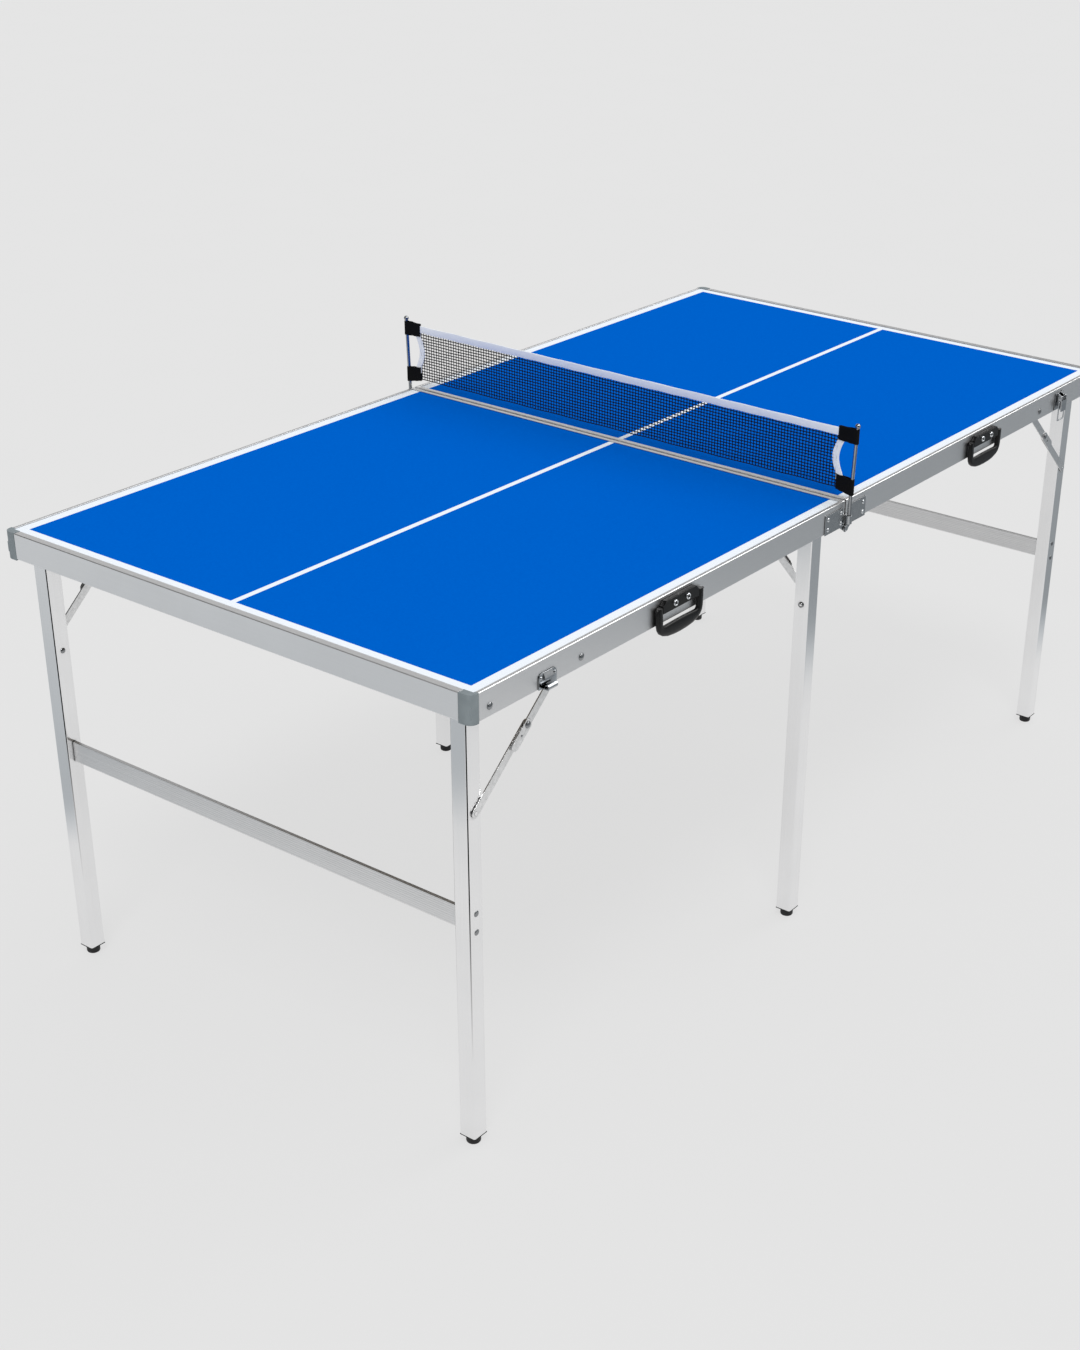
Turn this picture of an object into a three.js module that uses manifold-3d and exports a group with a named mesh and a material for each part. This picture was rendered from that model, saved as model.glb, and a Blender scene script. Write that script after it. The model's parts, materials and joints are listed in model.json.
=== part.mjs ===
// Folding table tennis table in two halves, with six folding legs and a lift-off net.
// Units are millimetres, +Z is up, the floor is z = 0 and the origin is under the middle of the table.
// The near half lies towards -X, the far half towards +X, the right side is -Y and the left side +Y.
// Every piece is drawn once for u > 0 (away from the fold) and w > 0 (away from the centre line),
// and is then mirrored to its half and side.
import * as THREE from "three";
import { mergeVertices } from "three/addons/utils/BufferGeometryUtils.js";
import Module from "manifold-3d";

const wasm = await Module();
wasm.setup();

// Overall sizes
const TABLE_LENGTH = 1829;
const TABLE_WIDTH = 914;
const TOP_HEIGHT = 745;
const FIT = 0.3; // gap between pieces that touch
const RUN = 0.6; // gap between pieces that slide past each other

// Table tops
const TOP_THICKNESS = 9;
const TOP_EDGE_GAP = 3.5; // from the outside of the rails to the edge of the board
const TOP_CORNER = 8;

// Rails
const RAIL_HEIGHT = 41;
const RAIL_WALL = 1.8;
const SIDE_RAIL_LIP = 6;
const END_RAIL_LIP = 12;
const RAIL_LIP_THICK = 1.3;
const RAIL_LIP_RISE = 0.2; // the lip's underside above the board
const RAIL_EDGE_ROUND = 1.2;
const RAIL_LEDGE = 14;
const RAIL_LEDGE_THICK = 1.2;
const RAIL_FLANGE = 6.8;
const FOLD_GAP = 5; // between the two halves
const FOLD_RAIL_LIP = 8.4;
const FOLD_RAIL_LEDGE = 5;

// Corner caps
const CAP_PROUD = 0.5;
const CAP_ALONG_X = 15.5;
const CAP_ALONG_Y = 22.5;
const CAP_WALL = 3.5;
const CAP_ROUND = 12;
const CAP_RISE = 2;
const CAP_DROP = 42;
const CAP_TONGUE = 11;
const CAP_TONGUE_THICK = 6;
const CAP_TONGUE_HEIGHT = 16;

// Legs
const LEG_SIZE = 28;
const LEG_WALL = 1.4;
const LEG_CORNER = 2.6;
const END_LEG_PIVOT_DROP = 25; // below the board's top face
const MIDDLE_LEG_PIVOT_DROP = 25;
const END_LEG_FROM_END = 36.5; // from the outside of the end rail to the middle of the legs
const END_LEG_FROM_SIDE = 29.5; // from the outside of the side rail to the legs' outer faces
const MIDDLE_LEG_FROM_SIDE = 8.6;
const NEAR_MIDDLE_LEG_U = 66;
const FAR_MIDDLE_LEG_U = 36;
const PIN_RADIUS = 3;
const PIN_SPACER_RADIUS = 5.5;
const RIVET_RADIUS = 5.2;
const RIVET_RISE = 2.4;

// Feet
const FOOT_PLATE = 1.5;
const FOOT_PAD_RADIUS = 11;
const FOOT_PAD_HEIGHT = 13.5;
const FOOT_PAD_ROUND = 2.5;
const FOOT_PLUG_HEIGHT = 18;
const FOOT_PLUG_PLAY = 0.6;

// Crossbars
const CROSSBAR_DROP = 349; // from the board's top face to the bar's top edge
const CROSSBAR_HEIGHT = 34;
const CROSSBAR_DEPTH = 6; // the flat tube lies in the middle of the legs
const CROSSBAR_WALL = 1.2;
const CROSSBAR_PLUG_RADIUS = 4.6;
const CROSSBAR_PLUG_INSET = 2;

// Stays, the folding braces. Each has a lower link on the leg and an upper link under the top.
const STAY_WIDTH = 14;
const STAY_THICK = 2;
const STAY_GAP = 0.7;
const STAY_CLIP_THICK = 1.2;
const STAY_CLIP_WIDTH = 16.4;
const STAY_CLIP_LENGTH = 34;
const END_STAY_DROP = 168; // leg pivot down to the stay's rivet on the leg
const END_STAY_REACH = 193; // leg pivot along to the stay's rivet on the rail
const MIDDLE_STAY_DROP = 133;
const MIDDLE_STAY_REACH = 143;

// Hangers of the middle legs
const HANGER_THICK = 1.4;
const HANGER_CHEEK_DROP = 34;
const HANGER_CHEEK_HALF = 6;
const HANGER_TOP_GAP = 0.2;

// Hinges
const HINGE_AXIS_DROP = 44.5;
const HINGE_PLATE_START = 10;
const HINGE_PLATE_END = 61;
const HINGE_PLATE_TOP = 8;
const HINGE_PLATE_BOTTOM = 41;
const HINGE_THICK = 1.5;
const HINGE_EAR_RADIUS = 7;
const HINGE_EAR_REACH = 6; // over the plate, from its inner end
const HINGE_PIN_RADIUS = 3;
const HINGE_PIN_HEAD_RADIUS = 5.5;
const HINGE_PIN_HEAD = 2;
const HINGE_PIN_TAIL_RADIUS = 4.4;
const HINGE_RIVET_RADIUS = 3.4;
const HINGE_RIVET_RISE = 1.8;
const HINGE_RIVET_INSET = 8;

// Net and its posts
const POST_RADIUS = 3;
const POST_OUT = 8; // from the outside of the side rails
const POST_LEAN = 4.5;
const POST_TOP = 126; // above the board
const POST_BALL_RADIUS = 4.4;
const SOCKET_WALL = 1.7;
const SOCKET_TOP_DROP = 22;
const SOCKET_BOTTOM_DROP = 36;
const SOCKET_FLOOR = 1.5;
const NET_FROM_SIDE = 21; // from the outside of the side rails to the net's end tapes
const NET_THICK = 2.4;
const NET_BOTTOM = 18;
const NET_TOP = 119;
const STRAP_THICK = 9;
const STRAP_END_OUT = 19; // from the outside of the side rails
const STRAP_HEIGHT = 22;
const STRAP_INSET_W = 3;

// Handles
const HANDLE_U = 462;
const BRACKET_HALF = 44;
const BRACKET_TOP_DROP = 3.5;
const BRACKET_BOTTOM_DROP = 21.5;
const BRACKET_THICK = 8;
const BRACKET_SLOPE = 7;
const HANDLE_RIVET_SPACING = 31;
const HANDLE_RIVET_RADIUS = 4.6;
const BAIL_HALF = 55.5;
const BAIL_OPENING_HALF = 43.5;
const BAIL_ARM = 5.2;
const BAIL_PIVOT_DROP = 14;
const BAIL_GRIP_TOP_DROP = 42;
const BAIL_GRIP_BULGE = 2;
const BAIL_GRIP_BOTTOM_DROP = 62.5;
const BAIL_BACK = 1.2; // behind the bail, off the rail
const BAIL_DEPTH = 7.8;
const BAIL_ROUND = 50;
const BAIL_HUB_RADIUS = 4.3;
const BAIL_PIVOT_RADIUS = 2.2;

// Latch and catch
const LATCH_FROM_END = 154.5;
const LATCH_PLATE_HALF = 15;
const LATCH_PLATE_TOP_DROP = 6;
const LATCH_PLATE_BOTTOM_DROP = 38;
const LATCH_PLATE_THICK = 1.5;
const LATCH_CHEEK_IN = 6;
const LATCH_CHEEK_THICK = 1.5;
const LATCH_PIVOT_DROP = 14;
const LATCH_PIVOT_OUT = 8; // from the rail's face
const LATCH_PIVOT_RADIUS = 1.6;
const LEVER_THICK = 1.5;
const LEVER_HUB = 3.6;
const LEVER_BOTTOM_DROP = 40;
const LOOP_PIVOT_DROP = 22;
const LOOP_BOTTOM_DROP = 58;
const LOOP_WIRE = 2.5;
const CATCH_TOP_DROP = 17;
const CATCH_BOTTOM_DROP = 42;
const CATCH_HALF = 19;
const CATCH_ARCH = 9; // how far the plate's top corners are rounded off
const CATCH_HOOK_HALF = 9.4;
const CATCH_HOOK_OUT = 11.5;
const CATCH_CURL_RADIUS = 4;
const CATCH_RAMP_OUT = 5;
const CATCH_RAMP_HEIGHT = 11;

// Values that follow from the sizes above
const HALF_LENGTH = TABLE_LENGTH / 2;
const HALF_WIDTH = TABLE_WIDTH / 2;
const RAIL_TOP = TOP_HEIGHT + RAIL_LIP_RISE + RAIL_LIP_THICK;
const RAIL_BOTTOM = RAIL_TOP - RAIL_HEIGHT;
const TOP_UNDERSIDE = TOP_HEIGHT - TOP_THICKNESS;
const END_PIVOT_Z = TOP_HEIGHT - END_LEG_PIVOT_DROP;
const MIDDLE_PIVOT_Z = TOP_HEIGHT - MIDDLE_LEG_PIVOT_DROP;
const LEG_BOTTOM = FOOT_PAD_HEIGHT + FOOT_PLATE + FIT;
const FOLD_RAIL_U = FOLD_GAP / 2;
const LATCH_U = HALF_LENGTH - LATCH_FROM_END;
const END_LEG_U = HALF_LENGTH - END_LEG_FROM_END;
const END_LEG_OUTER_W = HALF_WIDTH - END_LEG_FROM_SIDE;
const MIDDLE_LEG_OUTER_W = HALF_WIDTH - MIDDLE_LEG_FROM_SIDE;
const END_LEG_W = END_LEG_OUTER_W - LEG_SIZE / 2;
const MIDDLE_LEG_W = MIDDLE_LEG_OUTER_W - LEG_SIZE / 2;
const RAIL_FACE = HALF_WIDTH + FIT; // what is fastened on the outside of the rails starts here
const HINGE_Z = TOP_HEIGHT - HINGE_AXIS_DROP;
const POST_W = HALF_WIDTH + POST_OUT;
const SOCKET_RADIUS = POST_RADIUS + FIT + SOCKET_WALL;
const NET_HALF_WIDTH = HALF_WIDTH - NET_FROM_SIDE;
const STRAP_END_W = HALF_WIDTH + STRAP_END_OUT;

const FINISHES = {
  board: { color: 0x0066cc, roughness: 0.35, metalness: 0 },
  aluminium: { color: 0xb4b6b8, roughness: 0.38, metalness: 0.8 },
  cap: { color: 0x6e777a, roughness: 0.5, metalness: 0 },
  zinc: { color: 0x9aa0a4, roughness: 0.3, metalness: 1 },
  chrome: { color: 0xd8dadc, roughness: 0.12, metalness: 1 },
  black: { color: 0x17171a, roughness: 0.45, metalness: 0 },
  rubber: { color: 0x1c1c1e, roughness: 0.8, metalness: 0 },
  net: { color: 0x202226, roughness: 0.9, metalness: 0 },
};

// ---- solids ----

function toSolid(geometry) {
  const bare = geometry.clone();
  bare.deleteAttribute("normal");
  bare.deleteAttribute("uv");
  const merged = mergeVertices(bare, 1e-4);
  const vertProperties = new Float32Array(merged.attributes.position.array);
  const triVerts = new Uint32Array(merged.index.array);
  return new wasm.Manifold(new wasm.Mesh({ numProp: 3, vertProperties, triVerts }));
}

function toGeometry(solid) {
  const mesh = solid.getMesh();
  const geometry = new THREE.BufferGeometry();
  geometry.setAttribute("position", new THREE.BufferAttribute(mesh.vertProperties, 3));
  geometry.setIndex(new THREE.BufferAttribute(mesh.triVerts, 1));
  geometry.computeVertexNormals();
  return geometry;
}

const join = (...solids) => solids.reduce((all, one) => all.add(one));
const cut = (solid, ...tools) => tools.reduce((rest, tool) => rest.subtract(tool), solid);

function box(u0, u1, w0, w1, z0, z1) {
  const geometry = new THREE.BoxGeometry(u1 - u0, w1 - w0, z1 - z0);
  return toSolid(geometry.translate((u0 + u1) / 2, (w0 + w1) / 2, (z0 + z1) / 2));
}

// The direction in space of an outline's first and second number, and of its depth.
const PLANES = {
  u: [new THREE.Vector3(0, 1, 0), new THREE.Vector3(0, 0, 1), new THREE.Vector3(1, 0, 0)],
  w: [new THREE.Vector3(1, 0, 0), new THREE.Vector3(0, 0, 1), new THREE.Vector3(0, -1, 0)],
  z: [new THREE.Vector3(1, 0, 0), new THREE.Vector3(0, 1, 0), new THREE.Vector3(0, 0, 1)],
};

// An outline drawn out along u (outline in w, z), w (outline in u, z) or z (outline in u, w).
function prism(along, shape, from, to, curveSegments = 6) {
  const depth = to - from;
  const geometry = new THREE.ExtrudeGeometry(shape, { depth, bevelEnabled: false, curveSegments });
  geometry.applyMatrix4(new THREE.Matrix4().makeBasis(...PLANES[along]));
  const start = { u: [from, 0, 0], w: [0, to, 0], z: [0, 0, from] }[along];
  return toSolid(geometry.translate(...start));
}

function outline(points) {
  return new THREE.Shape(points.map(([a, b]) => new THREE.Vector2(a, b)));
}

// A round bar along u (centre w, z), w (centre u, z) or z (centre u, w).
function bar(along, a, b, radius, from, to, sides = 12) {
  const shape = new THREE.Shape().absarc(a, b, radius, 0, 2 * Math.PI);
  return prism(along, shape, from, to, sides / 2);
}

// A round, domed head that stands on the plane at level and points to larger or smaller values.
function dome(along, a, b, radius, rise, level, towards = 1) {
  const profile = [new THREE.Vector2(0, 0), new THREE.Vector2(radius, 0)];
  for (let step = 1; step < 3; step++) {
    const angle = (step / 3) * (Math.PI / 2);
    profile.push(new THREE.Vector2(radius * Math.cos(angle), rise * Math.sin(angle)));
  }
  profile.push(new THREE.Vector2(0, rise));
  const geometry = new THREE.LatheGeometry(profile, 10);
  if (towards < 0) geometry.rotateZ(Math.PI);
  if (along === "u") geometry.rotateZ(-Math.PI / 2).translate(level, a, b);
  if (along === "w") geometry.translate(a, level, b);
  return toSolid(geometry);
}

// A flat link with round ends from point a to point b, with a hole at each point that asks for one.
function link([a0, a1], [b0, b1], width, holes) {
  const angle = Math.atan2(b1 - a1, b0 - a0);
  const radius = width / 2;
  const shape = new THREE.Shape();
  shape.absarc(b0, b1, radius, angle - Math.PI / 2, angle + Math.PI / 2);
  shape.absarc(a0, a1, radius, angle + Math.PI / 2, angle + (3 * Math.PI) / 2);
  for (const [h0, h1] of holes)
    shape.holes.push(new THREE.Path().absarc(h0, h1, PIN_RADIUS + FIT, 0, 2 * Math.PI, true));
  return shape;
}

// ---- pieces of one half ----

function tableTop() {
  const inner = FOLD_RAIL_U + RAIL_WALL + FIT;
  const outer = HALF_LENGTH - TOP_EDGE_GAP;
  const side = HALF_WIDTH - TOP_EDGE_GAP;
  const shape = new THREE.Shape();
  shape.moveTo(inner, side);
  shape.lineTo(inner, -side);
  shape.absarc(outer - TOP_CORNER, -side + TOP_CORNER, TOP_CORNER, -Math.PI / 2, 0);
  shape.absarc(outer - TOP_CORNER, side - TOP_CORNER, TOP_CORNER, 0, Math.PI / 2);
  return prism("z", shape, TOP_UNDERSIDE, TOP_HEIGHT, 3);
}

// The rail's section, with its outer face at 0 and the table at smaller values.
function railSection(lip, ledge) {
  const lipUnder = RAIL_TOP - RAIL_LIP_THICK;
  const ledgeTop = TOP_UNDERSIDE - RAIL_LIP_RISE;
  const ledgeUnder = ledgeTop - RAIL_LEDGE_THICK;
  return [
    [0, RAIL_BOTTOM],
    [0, RAIL_TOP - RAIL_EDGE_ROUND],
    [-RAIL_EDGE_ROUND * 0.3, RAIL_TOP - RAIL_EDGE_ROUND * 0.3],
    [-RAIL_EDGE_ROUND, RAIL_TOP],
    [-lip, RAIL_TOP],
    [-lip, lipUnder],
    [-RAIL_WALL, lipUnder],
    [-RAIL_WALL, ledgeTop],
    [-ledge, ledgeTop],
    [-ledge, ledgeUnder],
    [-RAIL_WALL, ledgeUnder],
    [-RAIL_WALL, RAIL_BOTTOM + RAIL_WALL],
    [-RAIL_FLANGE, RAIL_BOTTOM + RAIL_WALL],
    [-RAIL_FLANGE, RAIL_BOTTOM],
  ];
}

function sideRail() {
  const section = railSection(SIDE_RAIL_LIP, RAIL_LEDGE).map(([a, z]) => [HALF_WIDTH + a, z]);
  const start = FOLD_RAIL_U;
  const end = HALF_LENGTH + CAP_PROUD - CAP_ALONG_X - FIT;
  const whole = prism("u", outline(section), start, end);
  const foldRailEnd = box(start - 1, start + RAIL_WALL + FIT, HALF_WIDTH - RAIL_LEDGE - 1,
    HALF_WIDTH - RAIL_WALL, RAIL_BOTTOM - 1, RAIL_TOP - RAIL_LIP_THICK);
  const rail = cut(whole, foldRailEnd);
  const stayU = END_LEG_U - END_STAY_REACH;
  const wall = HALF_WIDTH - RAIL_WALL;
  const stayFace = END_LEG_OUTER_W + STAY_GAP + STAY_THICK + STAY_GAP;
  const stayPin = join(
    bar("w", stayU, END_PIVOT_Z, PIN_SPACER_RADIUS, stayFace + STAY_THICK + STAY_GAP, wall),
    bar("w", stayU, END_PIVOT_Z, PIN_RADIUS, stayFace - STAY_GAP / 2, wall),
    dome("w", stayU, END_PIVOT_Z, RIVET_RADIUS, RIVET_RISE, HALF_WIDTH),
  );
  const legInner = END_LEG_OUTER_W - LEG_SIZE - RUN;
  const legPin = join(
    bar("w", END_LEG_U, END_PIVOT_Z, PIN_SPACER_RADIUS, END_LEG_OUTER_W + RUN, wall),
    bar("w", END_LEG_U, END_PIVOT_Z, PIN_RADIUS, legInner, wall),
    dome("w", END_LEG_U, END_PIVOT_Z, RIVET_RADIUS, RIVET_RISE, legInner, -1),
    dome("w", END_LEG_U, END_PIVOT_Z, RIVET_RADIUS, RIVET_RISE, HALF_WIDTH),
  );
  return join(rail, stayPin, legPin);
}

function endRail() {
  const section = railSection(END_RAIL_LIP, RAIL_LEDGE).map(([a, z]) => [HALF_LENGTH + a, z]);
  const end = HALF_WIDTH + CAP_PROUD - CAP_ALONG_Y - FIT;
  return prism("w", outline(section), -end, end);
}

function foldRail() {
  const section = railSection(FOLD_RAIL_LIP, FOLD_RAIL_LEDGE).map(([a, z]) => [FOLD_RAIL_U - a, z]);
  const side = HALF_WIDTH - RAIL_WALL - FIT;
  const rail = prism("w", outline(section), -side, side);
  const lipStart = HALF_WIDTH - SIDE_RAIL_LIP - FIT;
  const ends = [-1, 1].map((sign) => {
    const [w0, w1] = sign < 0 ? [-side, -lipStart] : [lipStart, side];
    return join(
      box(0, FOLD_RAIL_U + FOLD_RAIL_LIP, w0, w1, RAIL_TOP - RAIL_LIP_THICK - RAIL_LIP_RISE, RAIL_TOP),
      box(FOLD_RAIL_U + RAIL_WALL, HALF_WIDTH, w0 - RAIL_LEDGE, w1 + RAIL_LEDGE, RAIL_BOTTOM - 1,
        TOP_UNDERSIDE),
    );
  });
  return cut(rail, ...ends);
}

function cornerCap() {
  const outU = HALF_LENGTH + CAP_PROUD;
  const outW = HALF_WIDTH + CAP_PROUD;
  const startU = outU - CAP_ALONG_X;
  const startW = outW - CAP_ALONG_Y;
  const wallOutline = (inset, round) => {
    const shape = new THREE.Shape();
    shape.moveTo(startU, startW);
    shape.lineTo(outU - inset, startW);
    shape.absarc(outU - inset - round, outW - inset - round, round, 0, Math.PI / 2);
    shape.lineTo(startU, outW - inset);
    return shape;
  };
  const bottom = TOP_HEIGHT - CAP_DROP;
  const top = TOP_HEIGHT + CAP_RISE;
  const outer = prism("z", wallOutline(0, CAP_ROUND), bottom, top, 4);
  const hollow = prism("z", wallOutline(CAP_WALL, CAP_ROUND - CAP_WALL), bottom - 1, TOP_HEIGHT + FIT,
    3);
  const window = box(startU - 1, HALF_LENGTH - END_RAIL_LIP, startW - 1, HALF_WIDTH - SIDE_RAIL_LIP,
    bottom, top + 1);
  const midZ = (RAIL_BOTTOM + TOP_UNDERSIDE) / 2;
  const z0 = midZ - CAP_TONGUE_HEIGHT / 2;
  const z1 = midZ + CAP_TONGUE_HEIGHT / 2;
  const inU = HALF_LENGTH - RAIL_WALL - FIT;
  const inW = HALF_WIDTH - RAIL_WALL - FIT;
  const block = box(inU - CAP_TONGUE_THICK, outU - CAP_WALL + FIT, inW - CAP_TONGUE_THICK,
    outW - CAP_ROUND, z0, z1);
  const elbow = box(inU - CAP_TONGUE_THICK, outU - CAP_ROUND, inW - CAP_TONGUE_THICK,
    outW - CAP_WALL + FIT, z0, z1);
  const alongX = box(startU - CAP_TONGUE, inU, inW - CAP_TONGUE_THICK, inW, z0, z1);
  const alongY = box(inU - CAP_TONGUE_THICK, inU, startW - CAP_TONGUE, inW, z0, z1);
  return join(cut(outer, hollow, window), block, elbow, alongX, alongY);
}

// ---- legs ----

// A leg that turns about the w axis (end leg) or the u axis (middle leg).
function legTube(along, across, centre, pivotZ) {
  const half = LEG_SIZE / 2;
  const round = (inset) => {
    const shape = new THREE.Shape();
    const reach = half - inset;
    const corner = Math.max(LEG_CORNER - inset, 0.4);
    const [cu, cw] = along === "w" ? [centre, across] : [across, centre];
    const sides = [[1, -1, -0.5], [1, 1, 0], [-1, 1, 0.5], [-1, -1, 1]];
    for (const [su, sw, turn] of sides) {
      const u = cu + su * (reach - corner);
      const w = cw + sw * (reach - corner);
      shape.absarc(u, w, corner, turn * Math.PI, (turn + 0.5) * Math.PI);
    }
    return shape;
  };
  const top = pivotZ + half;
  const tube = prism("z", round(0), LEG_BOTTOM, top, 2);
  const bore = prism("z", round(LEG_WALL), LEG_BOTTOM - 1, top + 1, 1);
  const side = new THREE.Shape();
  side.moveTo(centre - half - 1, LEG_BOTTOM - 1);
  side.lineTo(centre + half + 1, LEG_BOTTOM - 1);
  side.lineTo(centre + half + 1, pivotZ);
  side.lineTo(centre + half, pivotZ);
  side.absarc(centre, pivotZ, half, 0, Math.PI);
  side.lineTo(centre - half - 1, pivotZ);
  const rounded = prism(along, side, across - half - 1, across + half + 1, 8);
  return cut(tube, bore).intersect(rounded);
}

// A rivet through the leg, with a stub outside that carries the lower stay.
function stayRivet(along, a, z, inner, outer, stayAt, towards) {
  const stub = stayAt + towards * (STAY_THICK + STAY_GAP / 2);
  const [from, to] = towards > 0 ? [inner, stub] : [stub, outer];
  return join(
    bar(along, a, z, PIN_RADIUS, from, to),
    dome(along, a, z, RIVET_RADIUS * 0.8, RIVET_RISE, towards > 0 ? inner : outer, -towards),
  );
}

function endLeg() {
  const inner = END_LEG_OUTER_W - LEG_SIZE;
  const tube = legTube("w", END_LEG_W, END_LEG_U, END_PIVOT_Z);
  const pivotHole = bar("w", END_LEG_U, END_PIVOT_Z, PIN_RADIUS + FIT, inner - 1, END_LEG_OUTER_W + 1);
  const stayZ = END_PIVOT_Z - END_STAY_DROP;
  const rivet = stayRivet("w", END_LEG_U, stayZ, inner, END_LEG_OUTER_W, END_LEG_OUTER_W + STAY_GAP, 1);
  const plugTop = TOP_HEIGHT - CROSSBAR_DROP - CROSSBAR_PLUG_INSET;
  const plugBottom = TOP_HEIGHT - CROSSBAR_DROP - CROSSBAR_HEIGHT + CROSSBAR_PLUG_INSET;
  const plugs = [plugTop, plugBottom].map((z) =>
    dome("w", END_LEG_U, z, CROSSBAR_PLUG_RADIUS, 1.2, END_LEG_OUTER_W),
  );
  const slotHalf = CROSSBAR_DEPTH / 2 + FIT;
  const barTop = TOP_HEIGHT - CROSSBAR_DROP + FIT;
  const slot = box(END_LEG_U - slotHalf, END_LEG_U + slotHalf, inner - 1, inner + LEG_WALL + 1,
    barTop - CROSSBAR_HEIGHT - 2 * FIT, barTop);
  return join(cut(tube, pivotHole, slot), rivet, ...plugs);
}

function middleLeg(centreU) {
  const inner = centreU - LEG_SIZE / 2;
  const outer = centreU + LEG_SIZE / 2;
  const tube = legTube("u", centreU, MIDDLE_LEG_W, MIDDLE_PIVOT_Z);
  const pivotHole = bar("u", MIDDLE_LEG_W, MIDDLE_PIVOT_Z, PIN_RADIUS + FIT, inner - 1, outer + 1);
  const stayZ = MIDDLE_PIVOT_Z - MIDDLE_STAY_DROP;
  const rivet = stayRivet("u", MIDDLE_LEG_W, stayZ, inner, outer, inner - STAY_GAP, -1);
  return join(cut(tube, pivotHole), rivet);
}

function foot(u, w) {
  const half = LEG_SIZE / 2;
  const plug = half - LEG_WALL - FOOT_PLUG_PLAY;
  const plateTop = FOOT_PAD_HEIGHT + FOOT_PLATE;
  const profile = [
    new THREE.Vector2(0, 0),
    new THREE.Vector2(FOOT_PAD_RADIUS - FOOT_PAD_ROUND, 0),
    new THREE.Vector2(FOOT_PAD_RADIUS - FOOT_PAD_ROUND * 0.3, FOOT_PAD_ROUND * 0.3),
    new THREE.Vector2(FOOT_PAD_RADIUS, FOOT_PAD_ROUND),
    new THREE.Vector2(FOOT_PAD_RADIUS, plateTop - FOOT_PLATE / 2),
    new THREE.Vector2(0, plateTop - FOOT_PLATE / 2),
  ];
  const pad = new THREE.LatheGeometry(profile, 18).rotateX(Math.PI / 2).translate(u, w, 0);
  return join(
    toSolid(pad),
    box(u - half, u + half, w - half, w + half, FOOT_PAD_HEIGHT, plateTop),
    box(u - plug, u + plug, w - plug, w + plug, FOOT_PAD_HEIGHT, plateTop + FOOT_PLUG_HEIGHT),
  );
}

// A flat tube that goes through a slot in each leg's inner wall and meets the outer wall.
function crossbar() {
  const z1 = TOP_HEIGHT - CROSSBAR_DROP;
  const end = END_LEG_OUTER_W - LEG_WALL - FIT;
  const shell = (inset, reach) => {
    const half = CROSSBAR_DEPTH / 2 - inset;
    return box(END_LEG_U - half, END_LEG_U + half, -reach, reach, z1 - CROSSBAR_HEIGHT + inset,
      z1 - inset);
  };
  return cut(shell(0, end), shell(CROSSBAR_WALL, end + 1));
}

// ---- stays ----

// Where a stay's three rivets lie in its own plane, with the leg's pivot at 0, 0. The lower link is
// the longer one, by as much as lets both links lie along the leg when it is folded.
function stayPoints(drop, reach) {
  const span = Math.hypot(drop, reach);
  const lower = (span + Math.abs(reach - drop)) / 2;
  const knuckle = [(-reach * lower) / span, -drop + (drop * lower) / span];
  return { onLeg: [0, -drop], knuckle, onTop: [-reach, 0] };
}

// An end stay lies outside its leg, and a middle stay on the side of its leg that faces the fold.
const END_STAY = {
  along: "w",
  pivot: [END_LEG_U, END_PIVOT_Z],
  drop: END_STAY_DROP,
  reach: END_STAY_REACH,
  face: END_LEG_OUTER_W,
  towards: 1,
};
const middleStay = (middleU) => ({
  along: "u",
  pivot: [MIDDLE_LEG_W, MIDDLE_PIVOT_Z],
  drop: MIDDLE_STAY_DROP,
  reach: MIDDLE_STAY_REACH,
  face: middleU - LEG_SIZE / 2,
  towards: -1,
});

// The lower link, in the layer next to the leg.
function lowerStay({ along, pivot, drop, reach, face, towards }) {
  const { onLeg, knuckle } = stayPoints(drop, reach);
  const place = ([a, z]) => [pivot[0] + a, pivot[1] + z];
  const shape = link(place(onLeg), place(knuckle), STAY_WIDTH, [place(onLeg)]);
  const start = face + towards * STAY_GAP;
  const end = start + towards * STAY_THICK;
  return prism(along, shape, Math.min(start, end), Math.max(start, end), 5);
}

// The upper link, in the next layer, with the clip that covers the knuckle and the knuckle's rivet.
function upperStay({ along, pivot, drop, reach, face, towards }) {
  const { onLeg, knuckle, onTop } = stayPoints(drop, reach);
  const place = ([a, z]) => [pivot[0] + a, pivot[1] + z];
  const start = face + towards * (2 * STAY_GAP + STAY_THICK);
  const end = start + towards * STAY_THICK;
  const clipEnd = end + towards * STAY_CLIP_THICK;
  const length = Math.hypot(onLeg[0] - knuckle[0], onLeg[1] - knuckle[1]);
  const share = STAY_CLIP_LENGTH / length;
  const tip = [knuckle[0] + (onLeg[0] - knuckle[0]) * share, knuckle[1] + (onLeg[1] - knuckle[1]) * share];
  const flat = link(place(onTop), place(knuckle), STAY_WIDTH, [place(onTop)]);
  const clip = link(place(tip), place(knuckle), STAY_CLIP_WIDTH, []);
  const [ka, kz] = place(knuckle);
  return join(
    prism(along, flat, Math.min(start, end), Math.max(start, end), 5),
    prism(along, clip, Math.min(end, clipEnd), Math.max(end, clipEnd), 5),
    dome(along, ka, kz, RIVET_RADIUS, RIVET_RISE, clipEnd, towards),
  );
}

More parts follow.
